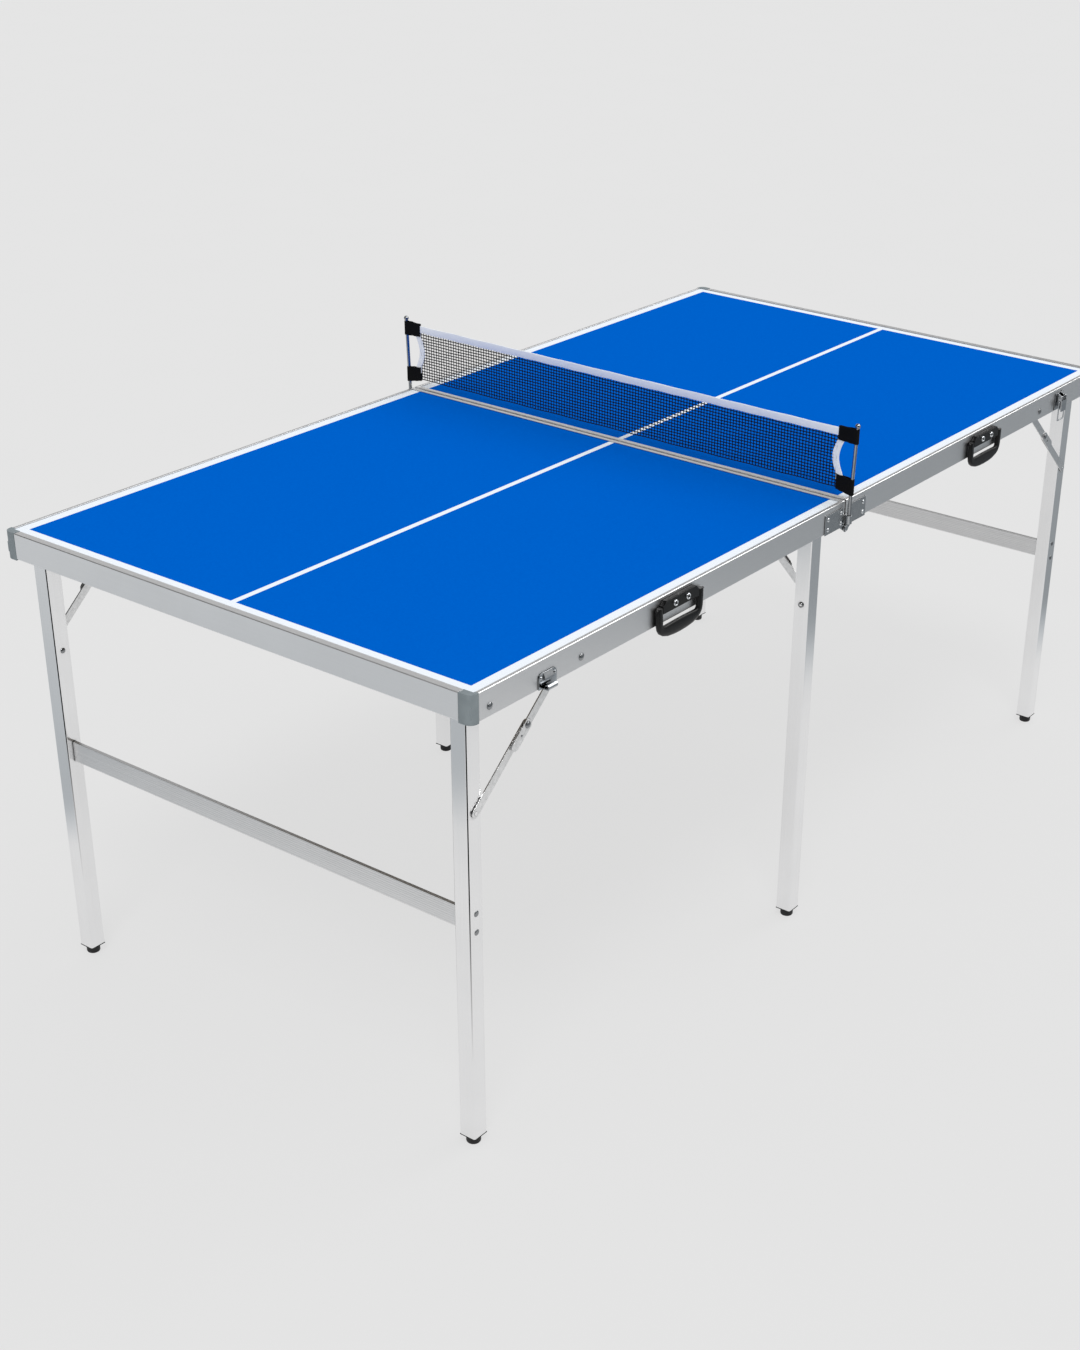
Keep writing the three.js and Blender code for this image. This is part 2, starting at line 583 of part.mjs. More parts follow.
// The bracket under the board that carries a middle leg and the top of its stay.
function middleHanger(centreU) {
  const top = TOP_UNDERSIDE - HANGER_TOP_GAP;
  const under = top - HANGER_THICK + HANGER_TOP_GAP;
  const low = TOP_HEIGHT - HANGER_CHEEK_DROP;
  const outerCheek = centreU + LEG_SIZE / 2 + RUN;
  const stayLayers = 3 * STAY_GAP + 2 * STAY_THICK + STAY_CLIP_THICK + RIVET_RISE;
  const innerCheek = centreU - LEG_SIZE / 2 - stayLayers - STAY_GAP;
  const w1 = MIDDLE_LEG_W + HANGER_CHEEK_HALF;
  const w0 = MIDDLE_LEG_W - MIDDLE_STAY_REACH - HANGER_CHEEK_HALF;
  const stayW = MIDDLE_LEG_W - MIDDLE_STAY_REACH;
  const pinFrom = innerCheek - HANGER_THICK;
  const pinTo = outerCheek + HANGER_THICK;
  const stayFace = centreU - LEG_SIZE / 2 - 2 * STAY_GAP - 2 * STAY_THICK;
  return join(
    box(pinFrom, pinTo, w0, w1, under, top),
    box(outerCheek, pinTo, MIDDLE_LEG_W - HANGER_CHEEK_HALF, w1, low, top),
    box(pinFrom, innerCheek, w0, w1, low, top),
    bar("u", MIDDLE_LEG_W, MIDDLE_PIVOT_Z, PIN_RADIUS, pinFrom, pinTo),
    dome("u", MIDDLE_LEG_W, MIDDLE_PIVOT_Z, RIVET_RADIUS, RIVET_RISE, pinTo),
    bar("u", stayW, MIDDLE_PIVOT_Z, PIN_RADIUS, innerCheek - FIT, stayFace + STAY_THICK + STAY_GAP / 2),
    bar("u", stayW, MIDDLE_PIVOT_Z, PIN_SPACER_RADIUS, innerCheek - FIT, stayFace - STAY_GAP),
  );
}

// ---- hinges ----

function hingePlate(rivetColumns) {
  const z0 = TOP_HEIGHT - HINGE_PLATE_BOTTOM;
  const z1 = TOP_HEIGHT - HINGE_PLATE_TOP;
  const w1 = RAIL_FACE + HINGE_THICK;
  const plate = box(HINGE_PLATE_START, HINGE_PLATE_END, RAIL_FACE, w1, z0, z1);
  const inset = HINGE_RIVET_INSET;
  const rivets = rivetColumns.flatMap((u) =>
    [z0 + inset, z1 - inset].map((z) => dome("w", u, z, HINGE_RIVET_RADIUS, HINGE_RIVET_RISE, w1)),
  );
  return join(plate, ...rivets);
}

const INNER_RIVETS = HINGE_PLATE_START + HINGE_RIVET_INSET / 2;
const OUTER_RIVETS = HINGE_PLATE_END - HINGE_RIVET_INSET;

// The ear that goes round the pin, in the layer that starts at w.
function hingeEar(w, neckTop) {
  const pin = new THREE.Path().absarc(0, HINGE_Z, HINGE_PIN_RADIUS + FIT, 0, 2 * Math.PI, true);
  const shape = new THREE.Shape();
  shape.absarc(0, HINGE_Z, HINGE_EAR_RADIUS, Math.PI / 2, (3 * Math.PI) / 2);
  shape.lineTo(HINGE_PLATE_START + HINGE_EAR_REACH, TOP_HEIGHT - HINGE_PLATE_BOTTOM);
  shape.lineTo(HINGE_PLATE_START + HINGE_EAR_REACH, neckTop);
  shape.lineTo(0, neckTop);
  shape.holes.push(pin);
  return prism("w", shape, w, w + HINGE_THICK, 5);
}

function nearLeaf() {
  const ear = hingeEar(RAIL_FACE, HINGE_Z + HINGE_EAR_RADIUS);
  const z0 = TOP_HEIGHT - SOCKET_BOTTOM_DROP;
  const z1 = TOP_HEIGHT - SOCKET_TOP_DROP;
  const tube = bar("z", 0, POST_W, SOCKET_RADIUS, z0, z1, 16);
  const hole = bar("z", 0, POST_W, POST_RADIUS + FIT, z0 + SOCKET_FLOOR, z1 + 1, 12);
  const web = box(0, HINGE_PLATE_START + 1, RAIL_FACE, RAIL_FACE + HINGE_THICK, z0, z1);
  const neck = box(-SOCKET_RADIUS / 2, SOCKET_RADIUS / 2, RAIL_FACE, POST_W - POST_RADIUS, z0, z1);
  return join(hingePlate([INNER_RIVETS, OUTER_RIVETS]), ear, cut(join(tube, web, neck), hole));
}

function farLeaf() {
  const layer = RAIL_FACE + HINGE_THICK + FIT;
  const ear = hingeEar(layer, HINGE_Z + HINGE_EAR_RADIUS);
  const joggle = box(HINGE_PLATE_START + 1, HINGE_PLATE_START + HINGE_EAR_REACH, RAIL_FACE,
    layer + HINGE_THICK / 2, TOP_HEIGHT - HINGE_PLATE_BOTTOM, HINGE_Z + HINGE_EAR_RADIUS);
  return join(hingePlate([OUTER_RIVETS]), joggle, ear);
}

function hingePin() {
  const outer = RAIL_FACE + 2 * HINGE_THICK + 2 * FIT;
  const inner = RAIL_FACE - FIT;
  return join(
    bar("w", 0, HINGE_Z, HINGE_PIN_RADIUS, inner - HINGE_PIN_HEAD / 2, outer + HINGE_PIN_HEAD / 2),
    bar("w", 0, HINGE_Z, HINGE_PIN_HEAD_RADIUS, outer, outer + HINGE_PIN_HEAD / 2, 10),
    dome("w", 0, HINGE_Z, HINGE_PIN_HEAD_RADIUS, HINGE_PIN_HEAD / 2, outer + HINGE_PIN_HEAD / 2),
    bar("w", 0, HINGE_Z, HINGE_PIN_TAIL_RADIUS, inner - HINGE_PIN_HEAD, inner),
  );
}

// ---- net ----

// A straight foot in the socket and, above the rail, a post that leans outwards a little.
function netPost(radius, ball) {
  const bottom = TOP_HEIGHT - SOCKET_BOTTOM_DROP + SOCKET_FLOOR + FIT;
  const bend = RAIL_TOP + RUN;
  const top = TOP_HEIGHT + POST_TOP;
  const length = Math.hypot(top - bend, POST_LEAN);
  const lean = Math.atan2(POST_LEAN, top - bend);
  const straight = bar("z", 0, POST_W, radius, bottom, bend);
  const elbow = toSolid(new THREE.SphereGeometry(radius, 12, 6).translate(0, POST_W, bend));
  const upper = new THREE.CylinderGeometry(radius, radius, length, 12).translate(0, length / 2, 0);
  upper.rotateX(Math.PI / 2 - lean).translate(0, POST_W, bend);
  const post = join(straight, elbow, toSolid(upper));
  if (!ball) return post;
  const knob = new THREE.SphereGeometry(POST_BALL_RADIUS, 12, 6);
  return join(post, toSolid(knob.translate(0, POST_W + POST_LEAN, top)));
}

function net() {
  const bottom = TOP_HEIGHT + NET_BOTTOM;
  const top = TOP_HEIGHT + NET_TOP;
  const half = NET_THICK / 2;
  const sheet = box(-half, half, -NET_HALF_WIDTH, NET_HALF_WIDTH, bottom, top);
  const around = netPost(POST_RADIUS + FIT, false);
  const straps = [1, -1].flatMap((side) =>
    [top - STRAP_HEIGHT, bottom - STRAP_INSET_W].map((z) => {
      const inner = NET_HALF_WIDTH - STRAP_INSET_W;
      const block = box(-STRAP_THICK / 2, STRAP_THICK / 2, inner, STRAP_END_W, z, z + STRAP_HEIGHT);
      const strap = cut(block, around);
      return side > 0 ? strap : strap.mirror([0, 1, 0]);
    }),
  );
  return join(sheet, ...straps);
}

// ---- handles ----

function handleBracket() {
  const z0 = TOP_HEIGHT - BRACKET_BOTTOM_DROP;
  const z1 = TOP_HEIGHT - BRACKET_TOP_DROP;
  const pivotZ = TOP_HEIGHT - BAIL_PIVOT_DROP;
  const pivotW = RAIL_FACE + BRACKET_THICK - BAIL_PIVOT_RADIUS - 1;
  const shape = outline([
    [HANDLE_U - BRACKET_HALF, z0],
    [HANDLE_U + BRACKET_HALF, z0],
    [HANDLE_U + BRACKET_HALF, z1 - BRACKET_SLOPE],
    [HANDLE_U + BRACKET_HALF - BRACKET_SLOPE, z1],
    [HANDLE_U - BRACKET_HALF + BRACKET_SLOPE, z1],
    [HANDLE_U - BRACKET_HALF, z1 - BRACKET_SLOPE],
  ]);
  const body = prism("w", shape, RAIL_FACE, RAIL_FACE + BRACKET_THICK);
  const rivets = [-1, 1].map((side) =>
    dome("w", HANDLE_U + (side * HANDLE_RIVET_SPACING) / 2, (z0 + z1) / 2, HANDLE_RIVET_RADIUS, 2.2,
      RAIL_FACE + BRACKET_THICK),
  );
  const reach = BAIL_HALF + BAIL_PIVOT_RADIUS;
  const axle = bar("u", pivotW, pivotZ, BAIL_PIVOT_RADIUS, HANDLE_U - reach, HANDLE_U + reach, 12);
  return join(body, axle, ...rivets);
}

function handleBail() {
  const pivotZ = TOP_HEIGHT - BAIL_PIVOT_DROP;
  const pivotW = RAIL_FACE + BRACKET_THICK - BAIL_PIVOT_RADIUS - 1;
  const gripTop = TOP_HEIGHT - BAIL_GRIP_TOP_DROP;
  const gripBottom = TOP_HEIGHT - BAIL_GRIP_BOTTOM_DROP;
  const back = RAIL_FACE + BAIL_BACK;
  const front = back + BAIL_DEPTH;
  const shape = new THREE.Shape();
  const shoulder = gripTop + BAIL_ARM;
  const flat = BAIL_HALF - BAIL_ROUND;
  shape.moveTo(HANDLE_U - BAIL_HALF, shoulder);
  shape.quadraticCurveTo(HANDLE_U - BAIL_HALF, gripBottom, HANDLE_U - flat, gripBottom);
  shape.lineTo(HANDLE_U + flat, gripBottom);
  shape.quadraticCurveTo(HANDLE_U + BAIL_HALF, gripBottom, HANDLE_U + BAIL_HALF, shoulder);
  shape.lineTo(HANDLE_U + BAIL_OPENING_HALF, shoulder);
  shape.lineTo(HANDLE_U + BAIL_OPENING_HALF, gripTop);
  shape.quadraticCurveTo(HANDLE_U, gripTop + BAIL_GRIP_BULGE, HANDLE_U - BAIL_OPENING_HALF, gripTop);
  shape.lineTo(HANDLE_U - BAIL_OPENING_HALF, shoulder);
  const grip = prism("w", shape, back, front);
  const hole = bar("u", pivotW, pivotZ, BAIL_PIVOT_RADIUS + FIT, HANDLE_U - BAIL_HALF - 1,
    HANDLE_U + BAIL_HALF + 1, 12);
  const arms = [-BAIL_HALF, BRACKET_HALF + RUN].map((start) => {
    const u0 = HANDLE_U + start;
    const u1 = u0 + BAIL_HALF - BRACKET_HALF - RUN;
    const arm = new THREE.Shape();
    arm.moveTo(back, shoulder - 1);
    arm.lineTo(front, shoulder - 1);
    arm.lineTo(pivotW + BAIL_HUB_RADIUS, pivotZ);
    arm.absarc(pivotW, pivotZ, BAIL_HUB_RADIUS, 0, Math.PI);
    return prism("u", arm, u0, u1);
  });
  return cut(join(grip, ...arms), hole);
}

// ---- latch and catch ----

// A plate with an arched top. Its lower edge is curled to the hook that holds the loop, and above the
// hook a pressed ramp guides the loop out.
function catchPlate() {
  const z0 = TOP_HEIGHT - CATCH_BOTTOM_DROP;
  const z1 = TOP_HEIGHT - CATCH_TOP_DROP;
  const t = LATCH_PLATE_THICK;
  const w1 = RAIL_FACE + t;
  const [u0, u1] = [LATCH_U - CATCH_HALF, LATCH_U + CATCH_HALF];
  const face = new THREE.Shape();
  face.moveTo(u0, z0 + t);
  face.lineTo(u1, z0 + t);
  face.lineTo(u1, z1 - CATCH_ARCH);
  face.quadraticCurveTo(u1, z1, u1 - CATCH_ARCH, z1);
  face.lineTo(u0 + CATCH_ARCH, z1);
  face.quadraticCurveTo(u0, z1, u0, z1 - CATCH_ARCH);
  const plate = prism("w", face, RAIL_FACE, w1);
  const r = CATCH_CURL_RADIUS;
  const curl = RAIL_FACE + CATCH_HOOK_OUT - r;
  const hook = new THREE.Shape();
  hook.moveTo(RAIL_FACE, z0 + 3 * t);
  hook.lineTo(RAIL_FACE, z0);
  hook.absarc(curl, z0 + r, r, -Math.PI / 2, 0.85 * Math.PI);
  hook.absarc(curl, z0 + r, r - t, 0.85 * Math.PI, -Math.PI / 2, true);
  hook.lineTo(w1, z0 + t);
  hook.lineTo(w1, z0 + 3 * t);
  const low = z1 - CATCH_RAMP_HEIGHT;
  const ramp = outline([
    [RAIL_FACE, z1], [RAIL_FACE, low], [RAIL_FACE + CATCH_RAMP_OUT, low],
    [RAIL_FACE + CATCH_RAMP_OUT, low + t], [w1, z1],
  ]);
  const rivets = [-1, 1].map((side) =>
    dome("w", LATCH_U + side * (CATCH_HALF - 4.5), z1 - 7, HINGE_RIVET_RADIUS - 0.6, HINGE_RIVET_RISE, w1),
  );
  const half = CATCH_HOOK_HALF;
  const across = (shape, curve) => prism("u", shape, LATCH_U - half, LATCH_U + half, curve);
  return join(plate, across(hook, 8), across(ramp, 1), ...rivets);
}

const LATCH_PIVOT_W = RAIL_FACE + LATCH_PIVOT_OUT;
const LATCH_PIVOT_Z = TOP_HEIGHT - LATCH_PIVOT_DROP;
const LOOP_PIVOT_Z = TOP_HEIGHT - LOOP_PIVOT_DROP;
const LEVER_IN = LATCH_CHEEK_IN + LATCH_CHEEK_THICK + RUN;
const LEVER_OUT = LEVER_IN + LEVER_THICK;
const LOOP_IN = LEVER_OUT + RUN;

function latchBase() {
  const z0 = TOP_HEIGHT - LATCH_PLATE_BOTTOM_DROP;
  const z1 = TOP_HEIGHT - LATCH_PLATE_TOP_DROP;
  const w1 = RAIL_FACE + LATCH_PLATE_THICK;
  const plate = box(LATCH_U - LATCH_PLATE_HALF, LATCH_U + LATCH_PLATE_HALF, RAIL_FACE, w1, z0, z1);
  const cheek = new THREE.Shape();
  cheek.moveTo(RAIL_FACE, z1);
  cheek.lineTo(RAIL_FACE, LATCH_PIVOT_Z - LATCH_PIVOT_OUT);
  cheek.lineTo(LATCH_PIVOT_W, LATCH_PIVOT_Z - 4);
  cheek.absarc(LATCH_PIVOT_W, LATCH_PIVOT_Z, 4, -Math.PI / 2, Math.PI / 2);
  const cheeks = [-LATCH_CHEEK_IN - LATCH_CHEEK_THICK, LATCH_CHEEK_IN].map((start) =>
    prism("u", cheek, LATCH_U + start, LATCH_U + start + LATCH_CHEEK_THICK),
  );
  const reach = LEVER_OUT - FIT;
  const pin = bar("u", LATCH_PIVOT_W, LATCH_PIVOT_Z, LATCH_PIVOT_RADIUS, LATCH_U - reach,
    LATCH_U + reach, 12);
  return join(plate, ...cheeks, pin);
}

function latchLever() {
  const z0 = TOP_HEIGHT - LEVER_BOTTOM_DROP;
  const hub = LEVER_HUB;
  const front = LATCH_PIVOT_W + hub;
  const side = new THREE.Shape();
  side.moveTo(front, z0 + 3);
  side.lineTo(front, LATCH_PIVOT_Z);
  side.absarc(LATCH_PIVOT_W, LATCH_PIVOT_Z, hub, 0, Math.PI);
  side.lineTo(LATCH_PIVOT_W - hub, LOOP_PIVOT_Z - hub);
  side.lineTo(front - LEVER_THICK, z0 + 3);
  const walls = [-LEVER_OUT, LEVER_IN].map((start) =>
    prism("u", side, LATCH_U + start, LATCH_U + start + LEVER_THICK),
  );
  const plate = box(LATCH_U - LEVER_OUT, LATCH_U + LEVER_OUT, front - LEVER_THICK + 1, front + 1, z0,
    LATCH_PIVOT_Z - hub - 1);
  const hole = bar("u", LATCH_PIVOT_W, LATCH_PIVOT_Z, LATCH_PIVOT_RADIUS + FIT, LATCH_U - LEVER_OUT - 1,
    LATCH_U + LEVER_OUT + 1, 12);
  const loopHole = bar("u", LATCH_PIVOT_W, LOOP_PIVOT_Z, LOOP_WIRE / 2 + FIT, LATCH_U - LEVER_OUT - 1,
    LATCH_U + LEVER_OUT + 1, 12);
  return cut(join(...walls, plate), hole, loopHole);
}

// A wire bent to a U, with its two ends turned in to the lever.
function latchLoop() {
  const half = LOOP_IN + LOOP_WIRE / 2;
  const bottom = TOP_HEIGHT - LOOP_BOTTOM_DROP + LOOP_WIRE / 2;
  const radius = LOOP_WIRE / 2;
  const w = LATCH_PIVOT_W;
  const legs = [-half, half].map((a) => bar("z", LATCH_U + a, w, radius, bottom, LOOP_PIVOT_Z, 8));
  const corners = [-half, half].flatMap((a) =>
    [bottom, LOOP_PIVOT_Z].map((z) =>
      toSolid(new THREE.SphereGeometry(radius, 8, 4).translate(LATCH_U + a, w, z)),
    ),
  );
  const across = bar("u", w, bottom, radius, LATCH_U - half, LATCH_U + half, 8);
  const ends = [[-half, -LEVER_IN], [LEVER_IN, half]].map(([a, b]) =>
    bar("u", w, LOOP_PIVOT_Z, radius, LATCH_U + a, LATCH_U + b, 8),
  );
  return join(...legs, across, ...ends, ...corners);
}

// ---- assembly ----

const table = new THREE.Group();

// along is -1 for the near half and 1 for the far half, side is -1 for the right and 1 for the left.
function place(name, solid, finish, along = 1, side = 1) {
  const mesh = new THREE.Mesh(toGeometry(solid), new THREE.MeshStandardMaterial(FINISHES[finish]));
  mesh.name = name;
  mesh.scale.set(along, side, 1);
  table.add(mesh);
}

const SIDES = { right: -1, left: 1 };

function addHalf(half, along, middleSide, middleU) {
  place(half + "_table_top", tableTop(), "board", along);
  place(half + "_end_rail", endRail(), "aluminium", along);
  place(half + "_fold_rail", foldRail(), "aluminium", along);
  place(half + "_crossbar", crossbar(), "aluminium", along);
  for (const [name, side] of Object.entries(SIDES)) {
    place(`${half}_${name}_rail`, sideRail(), "aluminium", along, side);
    place(`${half}_${name}_corner_cap`, cornerCap(), "cap", along, side);
    place(`${half}_${name}_leg`, endLeg(), "aluminium", along, side);
    place(`${half}_${name}_foot`, foot(END_LEG_U, END_LEG_W), "rubber", along, side);
    place(`${half}_${name}_lower_stay`, lowerStay(END_STAY), "zinc", along, side);
    place(`${half}_${name}_upper_stay`, upperStay(END_STAY), "zinc", along, side);
    const leaf = half === "near" ? nearLeaf() : farLeaf();
    place(`${half}_${name}_hinge_leaf`, leaf, "zinc", along, side);
  }
  place(half + "_middle_leg", middleLeg(middleU), "aluminium", along, middleSide);
  place(half + "_middle_foot", foot(middleU, MIDDLE_LEG_W), "rubber", along, middleSide);
  place(half + "_middle_hanger", middleHanger(middleU), "zinc", along, middleSide);
  const stay = middleStay(middleU);
  place(half + "_middle_lower_stay", lowerStay(stay), "zinc", along, middleSide);
  place(half + "_middle_upper_stay", upperStay(stay), "zinc", along, middleSide);
  place(half + "_handle_bracket", handleBracket(), "black", along, SIDES.right);
  place(half + "_handle_bail", handleBail(), "black", along, SIDES.right);
}

addHalf("near", -1, SIDES.right, NEAR_MIDDLE_LEG_U);
addHalf("far", 1, SIDES.left, FAR_MIDDLE_LEG_U);
place("near_catch_plate", catchPlate(), "chrome", -1, SIDES.right);
place("far_latch_base", latchBase(), "chrome", 1, SIDES.right);
place("far_latch_lever", latchLever(), "chrome", 1, SIDES.right);
place("far_latch_loop", latchLoop(), "chrome", 1, SIDES.right);
for (const [name, side] of Object.entries(SIDES)) {
  place(name + "_hinge_pin", hingePin(), "zinc", 1, side);
  place(name + "_net_post", netPost(POST_RADIUS, true), "chrome", 1, side);
}
place("net", net(), "net");

export default table;
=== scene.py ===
import json
import math

import bmesh
import bpy
from mathutils import Matrix, Vector

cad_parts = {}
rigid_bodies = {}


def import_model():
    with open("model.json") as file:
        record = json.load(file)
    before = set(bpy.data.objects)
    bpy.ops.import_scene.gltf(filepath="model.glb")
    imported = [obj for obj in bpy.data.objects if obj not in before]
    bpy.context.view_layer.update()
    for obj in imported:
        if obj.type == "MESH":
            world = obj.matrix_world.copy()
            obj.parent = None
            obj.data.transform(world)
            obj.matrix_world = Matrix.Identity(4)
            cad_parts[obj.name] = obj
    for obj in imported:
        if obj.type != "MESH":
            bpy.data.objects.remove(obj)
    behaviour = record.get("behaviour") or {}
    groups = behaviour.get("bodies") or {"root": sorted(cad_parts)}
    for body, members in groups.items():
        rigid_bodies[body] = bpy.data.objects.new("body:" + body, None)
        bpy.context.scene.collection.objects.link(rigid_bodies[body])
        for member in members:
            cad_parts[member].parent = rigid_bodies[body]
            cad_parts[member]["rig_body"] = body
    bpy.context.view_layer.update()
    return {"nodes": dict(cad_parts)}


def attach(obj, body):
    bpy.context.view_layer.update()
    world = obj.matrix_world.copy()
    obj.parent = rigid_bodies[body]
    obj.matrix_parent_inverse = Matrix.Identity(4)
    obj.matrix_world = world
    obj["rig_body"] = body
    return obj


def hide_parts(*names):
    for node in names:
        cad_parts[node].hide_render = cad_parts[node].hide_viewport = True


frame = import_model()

MM = 0.001

# Camera, solved for the whole table: metres and radians, and the lens in millimetres
CAMERA_PLACE = Vector((-2.7115, -2.0139, 1.9016))
CAMERA_YAW = 0.6191
CAMERA_PITCH = 0.486
CAMERA_ROLL = -0.0242
CAMERA_LENS = 55.312
CAMERA_SHIFT = (-0.0790, 0.0687)
CAMERA_FAR = 200

# Light. BACKDROP is the floor's and the background's level as the camera sees it, and SKY_LEVEL
# is the even light from all round. The rest of the surroundings is there to be mirrored, and adds
# only a little to matt faces.
BACKDROP = 0.776
SKY_LEVEL = 0.62
HORIZON_LEVEL, CEILING_LEVEL = 0.62, 0.32
HORIZON_UP_TO, CEILING_FROM = 0.1, 0.75  # as the height of a direction, 0 level and 1 straight up
FLAG_COUNT, FLAG_TURN = 3.0, 5.0  # dark upright stripes all round, and how far they are turned
FLAG_DARK = 0.12
FLAG_EDGES = (-0.5, 0.5)  # a stripe fades in over this part of its wave
SOFT_BOX_WAY = (0.503, -0.423, 0.754)
SOFT_BOX_EDGES = (0.8, 0.88)  # the cosines at which it begins and is full
SOFT_BOX_LEVEL = 1.7
# Each lamp: the way it shines, its strength, and how wide it is in degrees
LAMPS = {"key": ((0.5, 0.35, -1.1), 1.05, 18), "rim": ((-0.68, 0.2, -0.585), 0.53, 30)}
FLOOR_HALF = 60  # metres, so that no view shows its edge
FLOOR_MOTTLE = 0.005  # how much the floor's level varies, either way
FLOOR_OWN_LEVEL = 0.86  # the share that the floor shows of its own level, the rest taking shadow
# The floor's painted pool of light, as polished pieces mirror it: its middle, and from where to
# where it fades to the dark floor
POOL = (-3.15, 3.9, 0.0)
POOL_START, POOL_END, POOL_DARK = 6.22, 6.5, 0.3
# On one side the pool ends at a straight edge, beyond which it dips and slowly comes back
POOL_EDGE_WAY = (-0.707, 0.707, 0.0)
POOL_EDGE_START, POOL_EDGE_END, POOL_EDGE_BACK = 1.3, 1.45, 2.8
POOL_DIP, POOL_GAIN = 0.52, 0.27
POOL_SHADE = (0.84, 1.0, 1.12)  # the dark floor's tint in a reflection

# The board's printed lines, and what is measured from the board's top face
HALF_LENGTH = 914.5 * MM
HALF_WIDTH = 457 * MM
BOARD_TOP = 745 * MM
SIDE_LINE_INSET = 23.5 * MM
END_LINE_INSET = 28 * MM
CENTRE_LINE_HALF = 5 * MM
PAINT_DEPTH = 0.4 * MM

# Materials. Painted corner shade: its samples, and how open a corner is where it is full and where
# it ends.
PAINTED_SHADE_SAMPLES, PAINTED_SHADE_EDGES = 6, (0.35, 0.95)
MIDDLE = (0.35, 0.65)  # where most of a noise's values lie
BARE_ROUGH = 0.85


def linear(*srgb):
    """Colours are written as 0-255 sRGB, and shaders take linear values, by the sRGB rule."""
    return tuple(((v / 255 + 0.055) / 1.055) ** 2.4 if v > 10 else v / 3294.6 for v in srgb)


def add_object(name, data):
    made = bpy.data.objects.new(name, data)
    bpy.context.scene.collection.objects.link(made)
    return made


def add_camera():
    """The camera looks along forward, with its own right and up turned by the roll."""
    cos_pitch = math.cos(CAMERA_PITCH)
    forward = Vector((math.cos(CAMERA_YAW) * cos_pitch, math.sin(CAMERA_YAW) * cos_pitch,
                      -math.sin(CAMERA_PITCH)))
    level = Vector((math.sin(CAMERA_YAW), -math.cos(CAMERA_YAW), 0))
    under = forward.cross(level)
    right = math.cos(CAMERA_ROLL) * level + math.sin(CAMERA_ROLL) * under
    up = math.sin(CAMERA_ROLL) * level - math.cos(CAMERA_ROLL) * under
    data = bpy.data.cameras.new("camera")
    data.lens = CAMERA_LENS
    data.shift_x, data.shift_y = CAMERA_SHIFT
    data.clip_end = CAMERA_FAR
    camera = add_object("camera", data)
    turn = Matrix((right, up, -forward)).transposed().to_4x4()
    camera.matrix_world = Matrix.Translation(CAMERA_PLACE) @ turn
    bpy.context.scene.camera = camera


class Tree:
    """A material being made: put() sets or links a socket, add() makes a node.

    place is the point in the object's own metres, which are the frame's in every pose.
    """

    def __init__(self, name, kind="ShaderNodeBsdfPrincipled"):
        self.material = bpy.data.materials.new(name)
        self.material.use_nodes = True
        self.nodes = self.material.node_tree.nodes
        self.links = self.material.node_tree.links
        self.nodes.clear()
        self.shader = self.nodes.new(kind)
        output = self.nodes.new("ShaderNodeOutputMaterial")
        self.links.new(self.shader.outputs[0], output.inputs[0])
        self.place = self.add("ShaderNodeTexCoord").outputs["Object"]

    def put(self, socket, value):
        if hasattr(value, "is_output"):
            self.links.new(value, socket)
        else:
            socket.default_value = value

    def add(self, kind, *values, **settings):
        node = self.nodes.new(kind)
        for key, value in settings.items():
            setattr(node, key, value)
        for socket, value in zip(node.inputs, values):
            if value is not None:
                self.put(socket, value)
        return node

    def math(self, operation, a, b=0.0):
        return self.add("ShaderNodeMath", a, b, operation=operation).outputs[0]

    def noise(self, scale, detail=2.0, rough=0.5, place=None):
        return self.add("ShaderNodeTexNoise", place or self.place, None, scale, detail,
                        rough).outputs[0]

    def spread(self, value, low, high, start=0.0, end=1.0):
        """value from start to end becomes low to high."""
        return self.add("ShaderNodeMapRange", value, start, end, low, high).outputs[0]

    def mix(self, factor, a, b):
        node = self.nodes.new("ShaderNodeMix")
        node.data_type = "RGBA"
        for name, value in (("Factor_Float", factor), ("A_Color", a), ("B_Color", b)):
            socket = next(s for s in node.inputs if s.identifier == name)
            if not hasattr(value, "is_output") and name != "Factor_Float":
                value = (*value, 1.0)
            self.put(socket, value)
        return next(s for s in node.outputs if s.identifier == "Result_Color")

    def axis(self, direction):
        """How far along direction a point is."""
        return self.add("ShaderNodeVectorMath", self.place, direction,
                        operation="DOT_PRODUCT").outputs["Value"]

    def stretched(self, along, length_scale, width_scale):
        """Coordinates for a grain that runs along a direction."""
        along = Vector(along).normalized()
        side = along.orthogonal().normalized()
        other = along.cross(side)
        parts = [self.math("MULTIPLY", self.axis(d), s)
                 for d, s in ((along, length_scale), (side, width_scale), (other, width_scale))]
        return self.add("ShaderNodeCombineXYZ", *parts).outputs[0]

    def painted_corner_shade(self, colour, reach, depth):
        """The colour with painted shade, darker by up to depth within reach of a corner."""
        node = self.nodes.new("ShaderNodeAmbientOcclusion")
        node.samples = PAINTED_SHADE_SAMPLES
        node.inputs["Distance"].default_value = reach
        open_share = self.spread(node.outputs["AO"], 1 - depth, 1.0, *PAINTED_SHADE_EDGES)
        grey = self.add("ShaderNodeCombineXYZ", open_share, open_share, open_share).outputs[0]
        return self.add("ShaderNodeVectorMath", colour, grey, operation="MULTIPLY").outputs[0]

    def bump(self, height, distance, strength):
        node = self.nodes.new("ShaderNodeBump")
        self.put(node.inputs["Height"], height)
        node.inputs["Distance"].default_value = distance
        node.inputs["Strength"].default_value = strength
        self.put(self.shader.inputs["Normal"], node.outputs[0])

    def surface(self, colour, roughness, **rest):
        """Ends the material. The rest are the shader's other sockets, written as one_word_each."""
        self.put(self.shader.inputs["Base Color"], colour)
        self.put(self.shader.inputs["Roughness"], roughness)
        for name, value in rest.items():
            self.put(self.shader.inputs[name.replace("_", " ").title().replace("Ior", "IOR")],
                     value)
        return self.material


